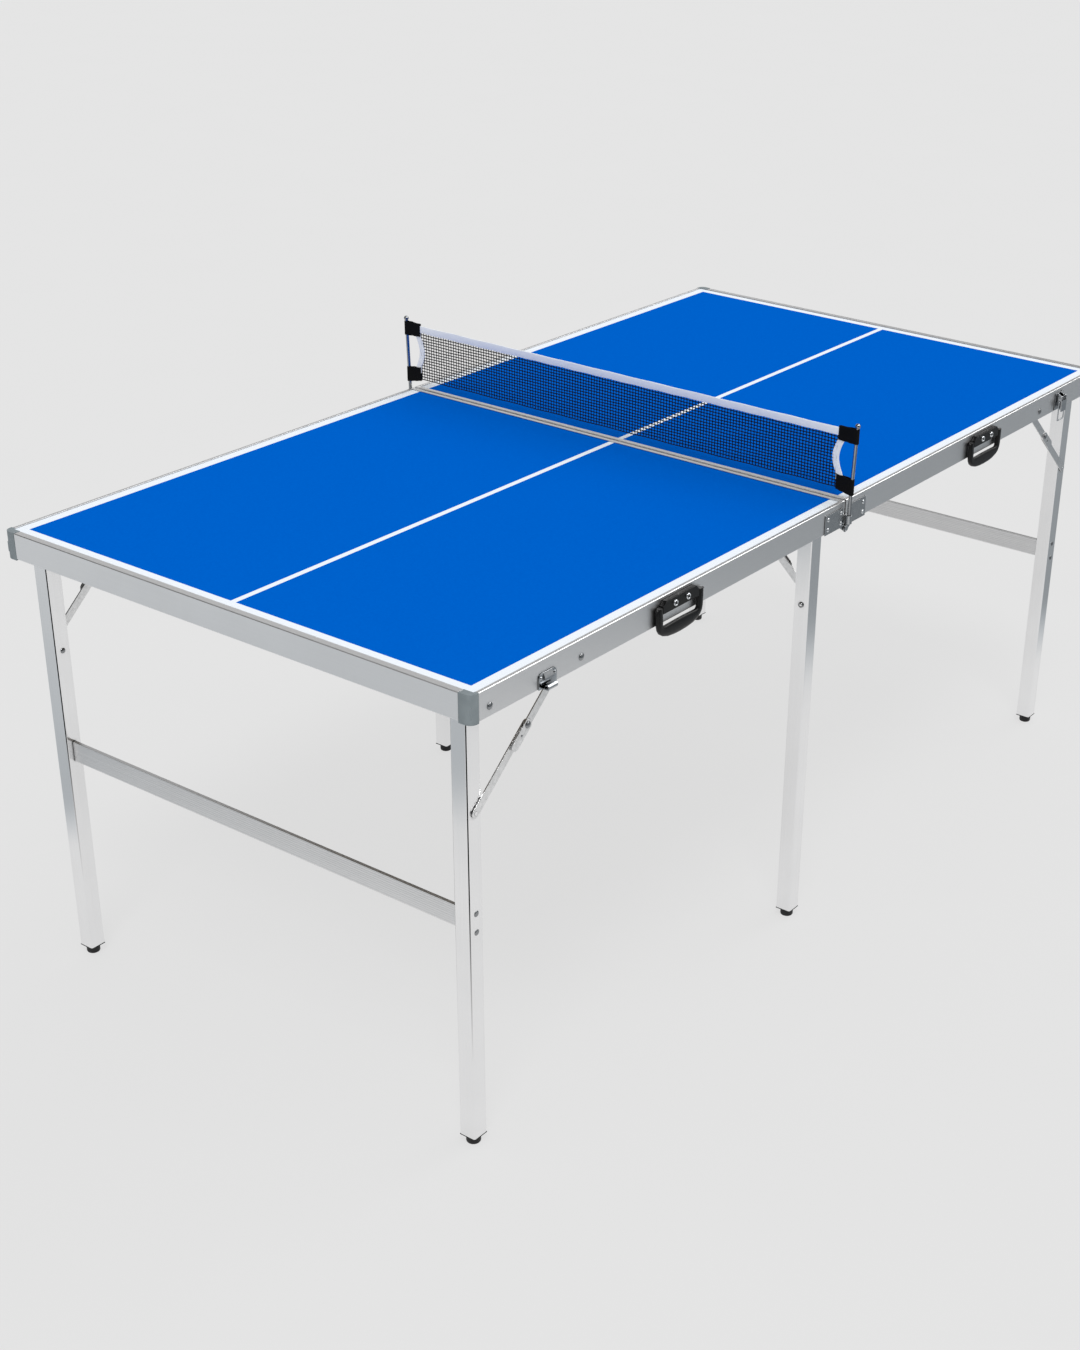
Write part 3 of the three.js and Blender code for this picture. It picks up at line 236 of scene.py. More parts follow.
def parts_of(tree):
    split = tree.add("ShaderNodeSeparateXYZ", tree.place).outputs
    return split["X"], split["Y"], split["Z"]


def board_paint():
    """Blue playing face with white lines, and bare fibreboard on the edges and below."""
    tree = Tree("board_paint")
    x, y, z = parts_of(tree)
    across, along = tree.math("ABSOLUTE", y), tree.math("ABSOLUTE", x)
    side = tree.math("GREATER_THAN", across, HALF_WIDTH - SIDE_LINE_INSET)
    end = tree.math("GREATER_THAN", along, HALF_LENGTH - END_LINE_INSET)
    middle = tree.math("LESS_THAN", across, CENTRE_LINE_HALF)
    line = tree.math("MAXIMUM", tree.math("MAXIMUM", side, end), middle)
    speck = tree.noise(260.0)
    blue = tree.mix(tree.spread(speck, 0, 1, 0.3, 0.7), linear(0, 93, 197), linear(0, 97, 201))
    white = tree.mix(speck, linear(234, 240, 248), linear(238, 244, 250))
    painted = tree.mix(line, blue, white)
    fibre = tree.noise(1.0, 4.0, 0.6, tree.stretched((1, 0.2, 0), 160, 420))
    bare = tree.mix(fibre, linear(104, 98, 90), linear(130, 123, 113))
    top = tree.math("GREATER_THAN", z, BOARD_TOP - PAINT_DEPTH)
    skin = tree.mix(top, bare, painted)
    worn = tree.spread(tree.noise(38.0, 4.0), 0.36, 0.48, *MIDDLE)
    rough = tree.spread(top, BARE_ROUGH, worn)
    tree.bump(tree.noise(520.0, 3.0), 0.00012, 0.25)
    return tree.surface(skin, rough, specular_ior_level=0.0)


# The painted shade lines of an end leg's outer face: its two corners, and the heights between
# which they come in
SHADE_LINE_X = 892 * MM
SHADE_LINE_Y = (427.5 * MM, 399.5 * MM)
SHADE_LINE_HALF = 1.5 * MM
SHADE_LINE_HEIGHTS = (0.15, 0.42)
SHADE_LINE_COLOUR = (0.006, 0.006, 0.007)


def aluminium(name, along, low, high, rough, streaks=0.35, shade_lines=False, ridges=0.0):
    """Satin extrusion: faint streaks along it and a clouded sheen, from low to high in level.

    streaks is their share of the tone. With the next flag, an end leg's outer face has painted
    shade as dark corner lines, and ridges is the spacing of fine ribs up and down.
    """
    tree = Tree(name)
    streak = tree.noise(1.0, 3.0, 0.6, tree.stretched(along, 1.5, 1100))
    cloud = tree.noise(7.0, 3.0, 0.55)
    fine = tree.noise(900.0)
    tone = tree.math("ADD", tree.math("MULTIPLY", streak, streaks),
                     tree.math("ADD", tree.math("MULTIPLY", cloud, 0.8 - streaks),
                               tree.math("MULTIPLY", fine, 0.2)))
    light = tree.mix(tree.spread(tone, 0, 1, 0.36, 0.64), (low, low, low * 1.005),
                     (high, high, high * 1.005))
    if shade_lines:
        # Painted shade lines down the outer face's corners
        light = tree.mix(leg_shade_lines(tree), light, SHADE_LINE_COLOUR)
    # Painted shade: darker within 5 mm of a corner
    light = tree.painted_corner_shade(light, reach=5 * MM, depth=0.6)
    relief = tree.math("ADD", streak, tree.math("MULTIPLY", fine, 0.4))
    if ridges:
        wave = tree.math("SINE", tree.math("MULTIPLY", parts_of(tree)[2], 2 * math.pi / ridges))
        tree.bump(tree.math("ADD", wave, tree.math("MULTIPLY", relief, 0.1)), 0.0002, 0.6)
    else:
        tree.bump(relief, 0.00003, 0.25)
    return tree.surface(light, tree.spread(tone, rough + 0.03, rough - 0.03, *MIDDLE),
                        metallic=1.0)


def leg_shade_lines(tree):
    """Painted shade: a dark line down the two corners of an end leg's outer face, fading towards
    the foot.
    """
    x, y, z = parts_of(tree)
    across, along = tree.math("ABSOLUTE", y), tree.math("ABSOLUTE", x)
    near_end = tree.math("LESS_THAN", tree.math("ABSOLUTE",
                         tree.math("SUBTRACT", along, SHADE_LINE_X)), SHADE_LINE_HALF)
    near_side = [tree.math("LESS_THAN", tree.math("ABSOLUTE",
                           tree.math("SUBTRACT", across, edge)), SHADE_LINE_HALF) for edge in SHADE_LINE_Y]
    corner = tree.math("MULTIPLY", near_end, tree.math("MAXIMUM", *near_side))
    fade = tree.spread(z, 0.0, 1.0, *SHADE_LINE_HEIGHTS)
    return tree.math("MULTIPLY", corner, fade)


def zinc(name, along, level, rough, blue=0.04, painted_shade=(4 * MM, 0.75)):
    """Plated steel: a fine brushed grain under a clouded, more or less bluish plating.

    level is how light it is, rough its smoothest and roughest, and the last argument the
    reach and the depth of the shade painted into its corners.
    """
    tree = Tree(name)
    streak = tree.noise(1.0, 2.0, 0.6, tree.stretched(along, 14, 1500))
    cloud = tree.noise(180.0, 3.0, 0.6)
    tone = tree.math("ADD", tree.math("MULTIPLY", streak, 0.5), tree.math("MULTIPLY", cloud, 0.5))
    low, high = level * 0.86, level * 1.12
    shift = blue * level
    colour = tree.mix(tree.spread(tone, 0, 1, *MIDDLE), (low - shift, low, low + shift),
                      (high - shift / 2, high, high + shift / 2))
    # Painted shade in its corners
    colour = tree.painted_corner_shade(colour, *painted_shade)
    tree.bump(tone, 0.00005, 0.4)
    return tree.surface(colour, tree.spread(tone, rough[1], rough[0], *MIDDLE), metallic=1.0)


def moulded(name, dark, light, rough, grain=1400.0, depth=0.00008, gloss=0.5):
    """Moulded plastic: a fine even grain, and a slightly uneven colour and sheen."""
    tree = Tree(name)
    fine = tree.noise(grain)
    cloud = tree.noise(45.0, 3.0)
    colour = tree.mix(tree.spread(cloud, 0, 1, *MIDDLE), dark, light)
    tree.bump(fine, depth, 0.5)
    return tree.surface(colour, tree.spread(cloud, *rough, *MIDDLE), specular_ior_level=gloss)


def woven(name, dark, light, pitch, rough=0.85, sheen=0.0):
    """Tape or webbing: ribs across it and yarns along it, from two crossed waves."""
    tree = Tree(name)
    _, y, z = parts_of(tree)
    turn = 2 * math.pi / pitch
    warp = tree.math("SINE", tree.math("MULTIPLY", y, turn))
    weft = tree.math("SINE", tree.math("MULTIPLY", z, turn))
    lump = tree.spread(tree.math("MULTIPLY", warp, weft), 0, 1, -1, 1)
    fuzz = tree.noise(1200.0, 3.0)
    both = tree.math("ADD", tree.math("MULTIPLY", lump, 0.6), tree.math("MULTIPLY", fuzz, 0.4))
    tree.bump(both, 0.00025, 0.6)
    return tree.surface(tree.mix(both, dark, light), rough, specular_ior_level=0.25,
                        sheen_weight=sheen)


ALONG_X, ALONG_Y, ALONG_Z, ALONG_STAY = (1, 0, 0), (0, 1, 0), (0, 0, 1), (0.75, 0, 0.66)
MATERIALS = {
    "board": board_paint(),
    "rail_x": aluminium("rail_along", ALONG_X, low=0.84, high=0.88, rough=0.36),
    "rail_y": aluminium("rail_across", ALONG_Y, low=0.91, high=0.95, rough=0.36),
    # The end legs carry painted shade lines on their outer corners
    "leg": aluminium("leg_tube", ALONG_Z, low=0.88, high=0.94, rough=0.17, shade_lines=True),
    "bar": aluminium("bar_across", ALONG_Y, low=0.74, high=0.84, rough=0.36, streaks=0.6,
                     ridges=3.6 * MM),
    "cap": moulded("corner_grey", linear(124, 133, 137), linear(134, 143, 147),
                   rough=(0.38, 0.5), gloss=0.25),
    "foot": moulded("foot_rubber", linear(20, 20, 21), linear(34, 34, 35), rough=(0.6, 0.75)),
    "handle": moulded("handle_black", linear(7, 7, 8), linear(13, 13, 14), rough=(0.26, 0.38),
                      grain=2600.0, depth=0.00003, gloss=0.3),
    # The last pair for the stay and the latch is the reach and the depth of their painted corner
    # shade
    "stay": zinc("stay_steel", ALONG_STAY, level=0.84, rough=(0.26, 0.36), blue=0.0,
                 painted_shade=(3 * MM, 0.4)),
    "hinge": zinc("hinge_steel", ALONG_Z, level=0.5, rough=(0.2, 0.3)),
    "latch": zinc("latch_steel", ALONG_X, level=0.5, rough=(0.05, 0.1), blue=0.05,
                  painted_shade=(7 * MM, 0.95)),
    "dark_head": zinc("dark_rivet", ALONG_Z, level=0.3, rough=(0.1, 0.18)),
    "head": zinc("bright_rivet", ALONG_Z, level=0.75, rough=(0.08, 0.14)),
    "post": zinc("post_steel", ALONG_Z, level=0.36, rough=(0.08, 0.14)),
    "tape": woven("tape_white", linear(228, 232, 236), linear(247, 249, 251), pitch=1.1 * MM,
                  sheen=0.1),
    "strap": woven("strap_black", linear(3, 3, 4), linear(11, 11, 12), pitch=1.4 * MM,
                   rough=0.95),
    "cord": woven("cord_black", linear(4, 6, 12), linear(14, 16, 24), pitch=0.8 * MM),
}

# What a node is: the first of these words that its name holds gives its slot and its material
KINDS = [("table_top", "board", "board"), ("end_rail", "rail", "rail_y"),
         ("fold_rail", "rail", "rail_y"), ("right_rail", "rail", "rail_x"),
         ("left_rail", "rail", "rail_x"), ("corner_cap", "cap", "cap"), ("foot", "foot", "foot"),
         ("crossbar", "leg", "bar"), ("stay", "stay", "stay"), ("leg", "leg", "leg"),
         ("hinge", "hinge", "hinge"), ("hanger", "stay", "stay"), ("handle", "handle", "handle"),
         ("catch", "latch", "latch"), ("latch", "latch", "latch"), ("post", "post", "post")]

# How far each material's edges are rounded, in millimetres
BEVELS = {"board": 0.5, "rail_x": 0.5, "rail_y": 0.5, "leg": 0.4, "cap": 1.5, "foot": 0.4,
          "bar": 0.4, "stay": 0.3, "hinge": 0.35, "latch": 0.3, "handle": 1.0, "post": 0.3}
BEVEL_FROM = math.radians(38)
FLAT_WITHIN = math.radians(0.8)
SAME_POINT = 1e-6


def kind_of(node):
    return next((slot, look) for word, slot, look in KINDS if word in node)


def finish_piece(piece, body, look):
    piece.data.materials.clear()
    piece.data.materials.append(MATERIALS[look])
    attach(piece, body)
    return piece


def cleaned(node):
    """A CAD node's mesh with its flat faces whole again, so that its edges can be rounded."""
    work = bmesh.new()
    work.from_mesh(frame["nodes"][node].data)
    bmesh.ops.remove_doubles(work, verts=work.verts, dist=SAME_POINT)
    bmesh.ops.dissolve_limit(work, angle_limit=FLAT_WITHIN, verts=work.verts, edges=work.edges)
    mesh = bpy.data.meshes.new(node + "_shape")
    work.to_mesh(mesh)
    work.free()
    mesh.polygons.foreach_set("use_smooth", [True] * len(mesh.polygons))
    return mesh


def rounded(node):
    """The node's own shape with every edge slightly rounded, as a pressed or moulded edge is."""
    slot, look = kind_of(node)
    piece = add_object(node + "_shown", cleaned(node))
    bevel = piece.modifiers.new("edges", "BEVEL")
    bevel.width = BEVELS[look] * MM
    bevel.segments = 2
    bevel.limit_method = "ANGLE"
    bevel.angle_limit = BEVEL_FROM
    bevel.miter_outer = "MITER_ARC"
    flat = piece.modifiers.new("flat_faces", "WEIGHTED_NORMAL")
    flat.weight = 60
    finish_piece(piece, frame["nodes"][node]["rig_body"], look)
    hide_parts(node)


class Shape:
    """Faces gathered for one mesh."""

    def __init__(self):
        self.points, self.faces = [], []

    def add(self, points, faces):
        start = len(self.points)
        self.points += [tuple(p) for p in points]
        self.faces += [tuple(start + i for i in face) for face in faces]

    def rings(self, rings, closed_loop=False):
        """Skins a row of rings of equally many points, and closes its ends or joins them up."""
        count, size = len(rings), len(rings[0])
        faces = []
        for r in range(count if closed_loop else count - 1):
            a, b = r * size, (r + 1) % count * size
            for i in range(size):
                j = (i + 1) % size
                faces.append((a + i, a + j, b + j, b + i))
        if not closed_loop:
            faces.append(tuple(range(size))[::-1])
            faces.append(tuple((count - 1) * size + i for i in range(size)))
        self.add([p for ring in rings for p in ring], faces)

    def object(self, name, smooth_below=40):
        mesh = bpy.data.meshes.new(name)
        mesh.from_pydata(self.points, [], self.faces)
        work = bmesh.new()
        work.from_mesh(mesh)
        bmesh.ops.recalc_face_normals(work, faces=work.faces)
        work.to_mesh(mesh)
        work.free()
        mesh.polygons.foreach_set("use_smooth", [True] * len(mesh.polygons))
        mesh.set_sharp_from_angle(angle=math.radians(smooth_below))
        return add_object(name, mesh)


LATHE_SIDES = 28


def circle(centre, u, v, radius, count):
    return [centre + radius * (math.cos(t) * u + math.sin(t) * v)
            for t in (2 * math.pi * i / count for i in range(count))]


def lathe(shape, base, axis, profile):
    """Turns (distance along axis, radius) pairs about the axis from base."""
    u = axis.orthogonal().normalized()
    v = axis.cross(u)
    shape.rings([circle(base + axis * d, u, v, r, LATHE_SIDES) for d, r in profile])


def tube(shape, points, radii, sides=4):
    """A thread through points in the net's plane. It takes the radii in turn."""
    rings = []
    for i, point in enumerate(points):
        ahead = points[min(i + 1, len(points) - 1)] - points[max(i - 1, 0)]
        ahead.normalize()
        u = ahead.cross(Vector((1, 0, 0))).normalized()
        rings.append(circle(point, u, ahead.cross(u), radii[i % len(radii)], sides))
    shape.rings(rings)


# Where the rivets are, in millimetres. What lies on both halves or both sides is written once.
END_LEG_X, PIVOT_Z, STAY_X = 878, 720, 685
RAIL_FACE, PLATE_FACE, BRACKET_FACE = 457, 458.8, 465.3
LEG_OUTER, LEG_INNER = 427.5, 399.5
STAY_ON_LEG_Z, PLUG_LEVELS = 552, (394, 364)
HINGE_LEVELS, HINGE_COLUMNS = (712, 729), {-1: (14, 53), 1: (53,)}
HANDLE_X, HANDLE_SPACING, HANDLE_Z = 462, 31, 732.5
BAIL_Y, BAIL_HALF_DEPTH = -462.4, 3.9
CLIP_FACE, KNUCKLE, CLIP_HOLE = 434.1, (772.1, 644.2), (785.5, 632.5)
NEAR_MIDDLE, FAR_MIDDLE = (-80, -434.4, 587), (50, 434.4, 587)
HEAD_SINK = 0.1  # how far inside the face a domed head starts

# The bail's outline, down one side: a point of its inner edge and one of its outer edge, each
# as X from the handle's middle and Z from the board's top, in millimetres
BAIL_SIDE = [((-44.8, -11.5), (-54.0, -11.5)), ((-44.8, -16), (-55.5, -16)),
             ((-44.6, -22), (-55.5, -24)), ((-43.5, -30), (-55.5, -32)),
             ((-43.5, -37), (-55.3, -39)), ((-43.2, -40), (-53.6, -45.5)),
             ((-41.6, -41.7), (-49.6, -51.5)), ((-37, -41.9), (-42.5, -56.2)),
             ((-27, -41.5), (-30, -60.2)), ((-14, -41.1), (-15, -62.0))]
BAIL_MIDDLE = ((0, -41), (0, -62.5))
BAIL_SQUARENESS = 0.62  # 1 gives a round bar, and less a squarer one


def bail(name, node, way):
    """The handle's bail as it is moulded: a soft-edged bar from hub to hub, wide in the grip."""
    mirrored = [((-a, b), (-c, d)) for (a, b), (c, d) in BAIL_SIDE[::-1]]
    pairs = BAIL_SIDE + [BAIL_MIDDLE] + mirrored
    shape = Shape()
    rings = []
    for (inner_x, inner_z), (outer_x, outer_z) in pairs:
        inner = Vector((inner_x + way * HANDLE_X, BAIL_Y, inner_z + BOARD_TOP / MM))
        outer = Vector((outer_x + way * HANDLE_X, BAIL_Y, outer_z + BOARD_TOP / MM))
        middle, half = (inner + outer) / 2, (outer - inner) / 2
        ring = []
        for a in (2 * math.pi * i / 24 for i in range(24)):
            c, s = math.cos(a), math.sin(a)
            across = math.copysign(abs(c) ** BAIL_SQUARENESS, c)
            depth = math.copysign(abs(s) ** BAIL_SQUARENESS, s) * BAIL_HALF_DEPTH
            ring.append((middle + half * across + Vector((0, depth, 0))) * MM)
        rings.append(ring)
    shape.rings(rings)
    piece = finish_piece(shape.object(name, 55), node, "handle")
    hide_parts(node)


def button(radius, rise):
    """A domed head's outline, which starts just inside the face it sits on."""
    dome = [(rise * math.sin(a) - HEAD_SINK, radius * math.cos(a))
            for a in (math.pi / 2 * i / 8 for i in range(8))]
    return dome + [(rise - HEAD_SINK, radius * 0.06)]


def eyelet(radius, rise):
    """A rolled ring with a hollow middle."""
    roll = [(0.0, 1.0), (0.55, 0.99), (0.9, 0.9), (1.0, 0.78), (0.92, 0.64), (0.6, 0.52),
            (0.25, 0.46), (0.15, 0.05)]
    return [(d * rise, r * radius) for d, r in roll]


def rivets(name, body, look, heads, outline):
    """Several equal heads as one piece: each head is (x, y, z) and the way it faces."""
    shape = Shape()
    profile = [(d * MM, r * MM) for d, r in outline]
    for place, facing in heads:
        lathe(shape, Vector(place) * MM, facing, profile)
    return finish_piece(shape.object(name, 50), body, look)


def clip_marks(half, way):
    """The knuckle's rivet and the small hole in each stay's clip."""
    for label, side in (("right", -1), ("left", 1)):
        out = Vector((0, side, 0))
        for word, (x, z), outline in (("knuckle", KNUCKLE, button(5.3, 2.6)),
                                      ("hole", CLIP_HOLE, eyelet(1.7, 0.5))):
            rivets(f"{half}_{label}_{word}", f"{half}_{label}_upper_stay", "dark_head",
                   [((way * x, side * CLIP_FACE, z), out)], outline)


def add_rivets():
    """The heads that show on rails, plates, brackets, legs and stays, and the two bails."""
    for half, way in (("near", -1), ("far", 1)):
        pivots, hinge, plugs, stays = [], [], [], []
        for side in (-1, 1):
            out = Vector((0, side, 0))
            pivots += [((way * x, side * RAIL_FACE, PIVOT_Z), out) for x in (END_LEG_X, STAY_X)]
            hinge += [((way * x, side * PLATE_FACE, z), out)
                      for x in HINGE_COLUMNS[way] for z in HINGE_LEVELS]
            plugs += [((way * END_LEG_X, side * LEG_OUTER, z), out) for z in PLUG_LEVELS]
            stays.append(((way * END_LEG_X, side * LEG_INNER, STAY_ON_LEG_Z), -out))
        right = Vector((0, -1, 0))
        handle = [((way * (HANDLE_X + end * HANDLE_SPACING / 2), -BRACKET_FACE, HANDLE_Z), right)
                  for end in (-1, 1)]
        rivets(half + "_pivot_rivets", half + "_half", "dark_head", pivots, button(5.4, 2.6))
        rivets(half + "_hinge_rivets", half + "_half", "head", hinge, button(3.6, 2.0))
        rivets(half + "_handle_rivets", half + "_half", "head", handle, eyelet(5.0, 2.6))
        rivets(half + "_leg_plugs", half + "_end_legs", "dark_head", plugs, button(4.8, 1.4))
        rivets(half + "_stay_rivets", half + "_end_legs", "dark_head", stays, button(4.4, 2.6))
        clip_marks(half, way)
        bail(half + "_bail", half + "_handle_bail", way)
    for half, place, out in (("near", NEAR_MIDDLE, -1), ("far", FAR_MIDDLE, 1)):
        rivets(half + "_middle_rivet", half + "_middle_leg", "dark_head",
               [(place, Vector((out, 0, 0)))], eyelet(4.6, 2.6))


# The net, in metres above the board's top face and out from the middle of the table
NET_TOP, NET_BOTTOM = 107 * MM, 20 * MM
CORDS_END = 0.4  # how far in from the net's side edge, as a share of the band's width
TAPE_TOP, TAPE_BOTTOM, TAPE_HALF = 117.5 * MM, 105 * MM, 1.1 * MM
TAPE_ROUND = 0.7  # how much of its thickness a tape's edge is rounded over
CELL_WIDE, CELL_TALL = 5.8 * MM, 5.05 * MM
CORD_RADIUS = 0.84 * MM
KNOT_RADIUS = 1.1 * MM
EDGE_CORD_RADIUS = 0.9 * MM
BAND_WIDTH, BAND_HALF = 12 * MM, 0.8 * MM
BAND_AT_STRAPS, BAND_AT_MIDDLE = 443 * MM, 434.5 * MM
POST_W, POST_LEAN = 465 * MM, 4.5 / 126
STRAP_HALF_AT_NET, STRAP_ROUND, STRAP_WALL, STRAP_STEPS = 2.3 * MM, 4.4 * MM, 1.0 * MM, 7
# A strap's place at the net, its lowest and highest there, and the same two at the post
UPPER_STRAP = ((437 * MM, 98 * MM, 120.5 * MM), (97 * MM, 121 * MM))
LOWER_STRAP = ((437.5 * MM, 17 * MM, 42 * MM), (12 * MM, 38 * MM))


def band_edge(height):
    """How far out the net's side edge is: it bows in between the two straps."""
    low, high = LOWER_STRAP[0][2], UPPER_STRAP[0][1]
    t = min(1.0, max(0.0, (height - low) / (high - low)))
    return BAND_AT_STRAPS + (BAND_AT_MIDDLE - BAND_AT_STRAPS) * math.sin(math.pi * t)


def net_threads():
    """Crossed cords with a knot at each crossing, and a stouter cord along the bottom.

    The small sines here and in the tape, bands and straps make them slightly uneven.
    """
    shape = Shape()
    rows = round((NET_TOP - NET_BOTTOM) / CELL_TALL)
    heights = [NET_BOTTOM + (NET_TOP - NET_BOTTOM) * i / rows for i in range(rows + 1)]
    half_count = int(BAND_AT_STRAPS / CELL_WIDE)
    for i in range(-half_count, half_count + 1):
        y = i * CELL_WIDE
        levels = [h for h in heights if abs(y) < band_edge(h) - BAND_WIDTH * CORDS_END]
        if len(levels) > 1:
            wave = [0.25 * MM * math.sin(2.1 * i + 1.7 * k) for k in range(len(levels))]
            tube(shape, [Vector((0, y + w, BOARD_TOP + h)) for w, h in zip(wave, levels)],
                 [CORD_RADIUS])
    for k, h in enumerate(heights[1:-1], 1):
        reach = int((band_edge(h) - BAND_WIDTH * CORDS_END) / CELL_WIDE * 2)
        points = [Vector((0, j * CELL_WIDE / 2, BOARD_TOP + h + (0.35 * MM if j % 2 else 0)
                          + 0.3 * MM * math.sin(0.19 * j + k)))
                  for j in range(-reach, reach + 1)]
        first_is_knot = reach % 2 == 0
        radii = [KNOT_RADIUS, CORD_RADIUS] if first_is_knot else [CORD_RADIUS, KNOT_RADIUS]
        tube(shape, points, radii)
    reach = LOWER_STRAP[0][0]
    edge = [Vector((0, reach * t / 40, BOARD_TOP + NET_BOTTOM + 0.4 * MM * math.sin(t * 0.7)))
            for t in range(-40, 41)]
    tube(shape, edge, [EDGE_CORD_RADIUS], sides=6)
    return shape.object("net_cords", 80)


def flat_ring(centre, half_thick, half_wide, wide_axis):
    """The rounded outline of a tape's cross-section, thick along X."""
    out = []
    corner = min(half_thick, half_wide) * TAPE_ROUND
    for sx, sw in ((1, 1), (-1, 1), (-1, -1), (1, -1)):
        steps = range(4) if sx * sw > 0 else range(3, -1, -1)
        for s in steps:
            a = math.pi / 2 * s / 3
            out.append(centre + Vector((sx * (half_thick - corner + corner * math.cos(a)), 0, 0))
                       + wide_axis * sw * (half_wide - corner + corner * math.sin(a)))
    return out


def top_tape():
    """The white tape folded over the net's top cord, a little uneven along both edges."""
    shape = Shape()
    rings = []
    reach = UPPER_STRAP[0][0] + 8 * MM
    for i in range(-60, 61):
        y = reach * i / 60
        low = TAPE_BOTTOM + 0.3 * MM * math.sin(i * 0.9)
        high = TAPE_TOP + 0.25 * MM * math.sin(i * 0.53 + 1)
        swell = TAPE_HALF * (1 + 0.12 * math.sin(i * 0.37))
        rings.append(flat_ring(Vector((0, y, BOARD_TOP + (low + high) / 2)), swell,
                               (high - low) / 2, Vector((0, 0, 1))))
    shape.rings(rings)
    return shape.object("net_top_tape", 50)


def side_band(name, side):
    """The white band that binds the net's end, bowed in by the pull of the straps."""
    shape = Shape()
    low, high = LOWER_STRAP[0][2] - 10 * MM, UPPER_STRAP[0][1] + 8 * MM
    rings = []
    for i in range(25):
        h = low + (high - low) * i / 24
        centre = Vector((0, side * (band_edge(h) - BAND_WIDTH * 0.1), BOARD_TOP + h))
        rings.append(flat_ring(centre, BAND_HALF * (1 + 0.15 * math.sin(i)), BAND_WIDTH / 2,
                               Vector((0, 1, 0))))
    shape.rings(rings)
    return shape.object(name, 50)


def strap_outline(inner_w, height, grow):
    """A webbing loop seen from above: flat on both sides of the net, round about the post."""
    post = POST_W + POST_LEAN * height
    out = []
    half = STRAP_HALF_AT_NET + grow
    radius = STRAP_ROUND + grow
    inner = inner_w - grow
    for i in range(9):
        t = i / 8
        out.append((half + (radius - half) * t * t, inner + (post - inner) * t))
    for i in range(1, 12):
        a = math.pi * i / 12
        out.append((radius * math.cos(a), post + radius * math.sin(a)))
    for i in range(9):
        t = 1 - i / 8
        out.append((-(half + (radius - half) * t * t), inner + (post - inner) * t))
    for i in range(1, 4):
        t = i / 4
        out.append((-half + 2 * half * t, inner - 0.6 * MM * math.sin(math.pi * t)))
    return out


def strap(name, side, shape_of):
    """A loop of webbing round the post and the net's edge, with uneven cut edges."""
    (inner_w, inner_low, inner_high), (post_low, post_high) = shape_of
    shape = Shape()
    rings = []
    steps = [t / STRAP_STEPS for t in range(STRAP_STEPS + 1)]
    outlines = [(strap_outline(inner_w, inner_low, 0), t) for t in steps]
    outlines += [(strap_outline(inner_w, inner_low, -STRAP_WALL), t) for t in steps[::-1]]
    for outline, t in outlines:
        ring = []
        for n, (x, w) in enumerate(outline):
            share = min(1.0, max(0.0, (w - inner_w) / (POST_W - inner_w)))
            low = inner_low + (post_low - inner_low) * share + 0.35 * MM * math.sin(n * 1.9)
            high = (inner_high + (post_high - inner_high) * share
                    + 0.35 * MM * math.sin(n * 1.3 + 1))
            ripple = 0.25 * MM * math.sin(w / MM * 0.5 + t * 4) * share * (1 - share) * 4
            ring.append(Vector((x + ripple, side * w, BOARD_TOP + low + (high - low) * t)))
        rings.append(ring)
    shape.rings(rings, closed_loop=True)
    return shape.object(name, 50)


def add_net():
    """The net's cords stand for the CAD's plain net, and its tape, bands and straps go along."""
    threads = finish_piece(net_threads(), "net_set", "cord")
    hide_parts("net")
    others = [finish_piece(top_tape(), "net_set", "tape")]
    for label, side in (("right", -1), ("left", 1)):
        others.append(finish_piece(side_band(f"net_{label}_band", side), "net_set", "tape"))
        for level, shape_of in (("upper", UPPER_STRAP), ("lower", LOWER_STRAP)):
            others.append(finish_piece(strap(f"net_{label}_{level}_strap", side, shape_of),
                                       "net_set", "strap"))


def add_floor():
    """A pale floor that shows its own level and part of the shadow.

    Polished pieces mirror it as a painted pool of light with a dark floor round it. Nothing else
    sees that.
    """
    shape = Shape()
    half = FLOOR_HALF
    shape.add([(-half, -half, 0), (half, -half, 0), (half, half, 0), (-half, half, 0)],
              [(0, 1, 2, 3)])
    floor = shape.object("floor")
    tree = Tree("floor_pale", "ShaderNodeMixShader")
    path = tree.add("ShaderNodeLightPath").outputs
    direct = tree.math("MAXIMUM", path["Is Camera Ray"], path["Is Transmission Ray"])
    # The painted pool of light, which the floor's glow shows only to mirrored rays
    away = tree.add("ShaderNodeVectorMath", tree.place, POOL, operation="DISTANCE").outputs
    pool = tree.spread(away["Value"], 1.0, POOL_DARK, POOL_START, POOL_END)
    beyond = tree.axis(POOL_EDGE_WAY)
    dip = tree.spread(beyond, 1.0, POOL_DIP, POOL_EDGE_START, POOL_EDGE_END)
    gain = tree.spread(beyond, 0.0, POOL_GAIN, POOL_EDGE_END, POOL_EDGE_BACK)
    pool = tree.math("MULTIPLY", pool, tree.math("ADD", dip, gain))
    colour = tree.mix(tree.noise(3.0), (BACKDROP * (1 - FLOOR_MOTTLE),) * 3,
                      (BACKDROP * (1 + FLOOR_MOTTLE),) * 3)
    plain = tree.add("ShaderNodeBsdfDiffuse", colour)
    shown = tree.math("MAXIMUM", direct, pool)
    tint = tree.mix(shown, tuple(BACKDROP * part for part in POOL_SHADE), colour)
    glow = tree.add("ShaderNodeEmission", tint, shown)
    seen = tree.math("MAXIMUM", direct, path["Is Glossy Ray"])
    tree.put(tree.shader.inputs[0], tree.math("MULTIPLY", seen, FLOOR_OWN_LEVEL))
    tree.put(tree.shader.inputs[1], plain.outputs[0])
    tree.put(tree.shader.inputs[2], glow.outputs[0])
    floor.data.materials.append(tree.material)


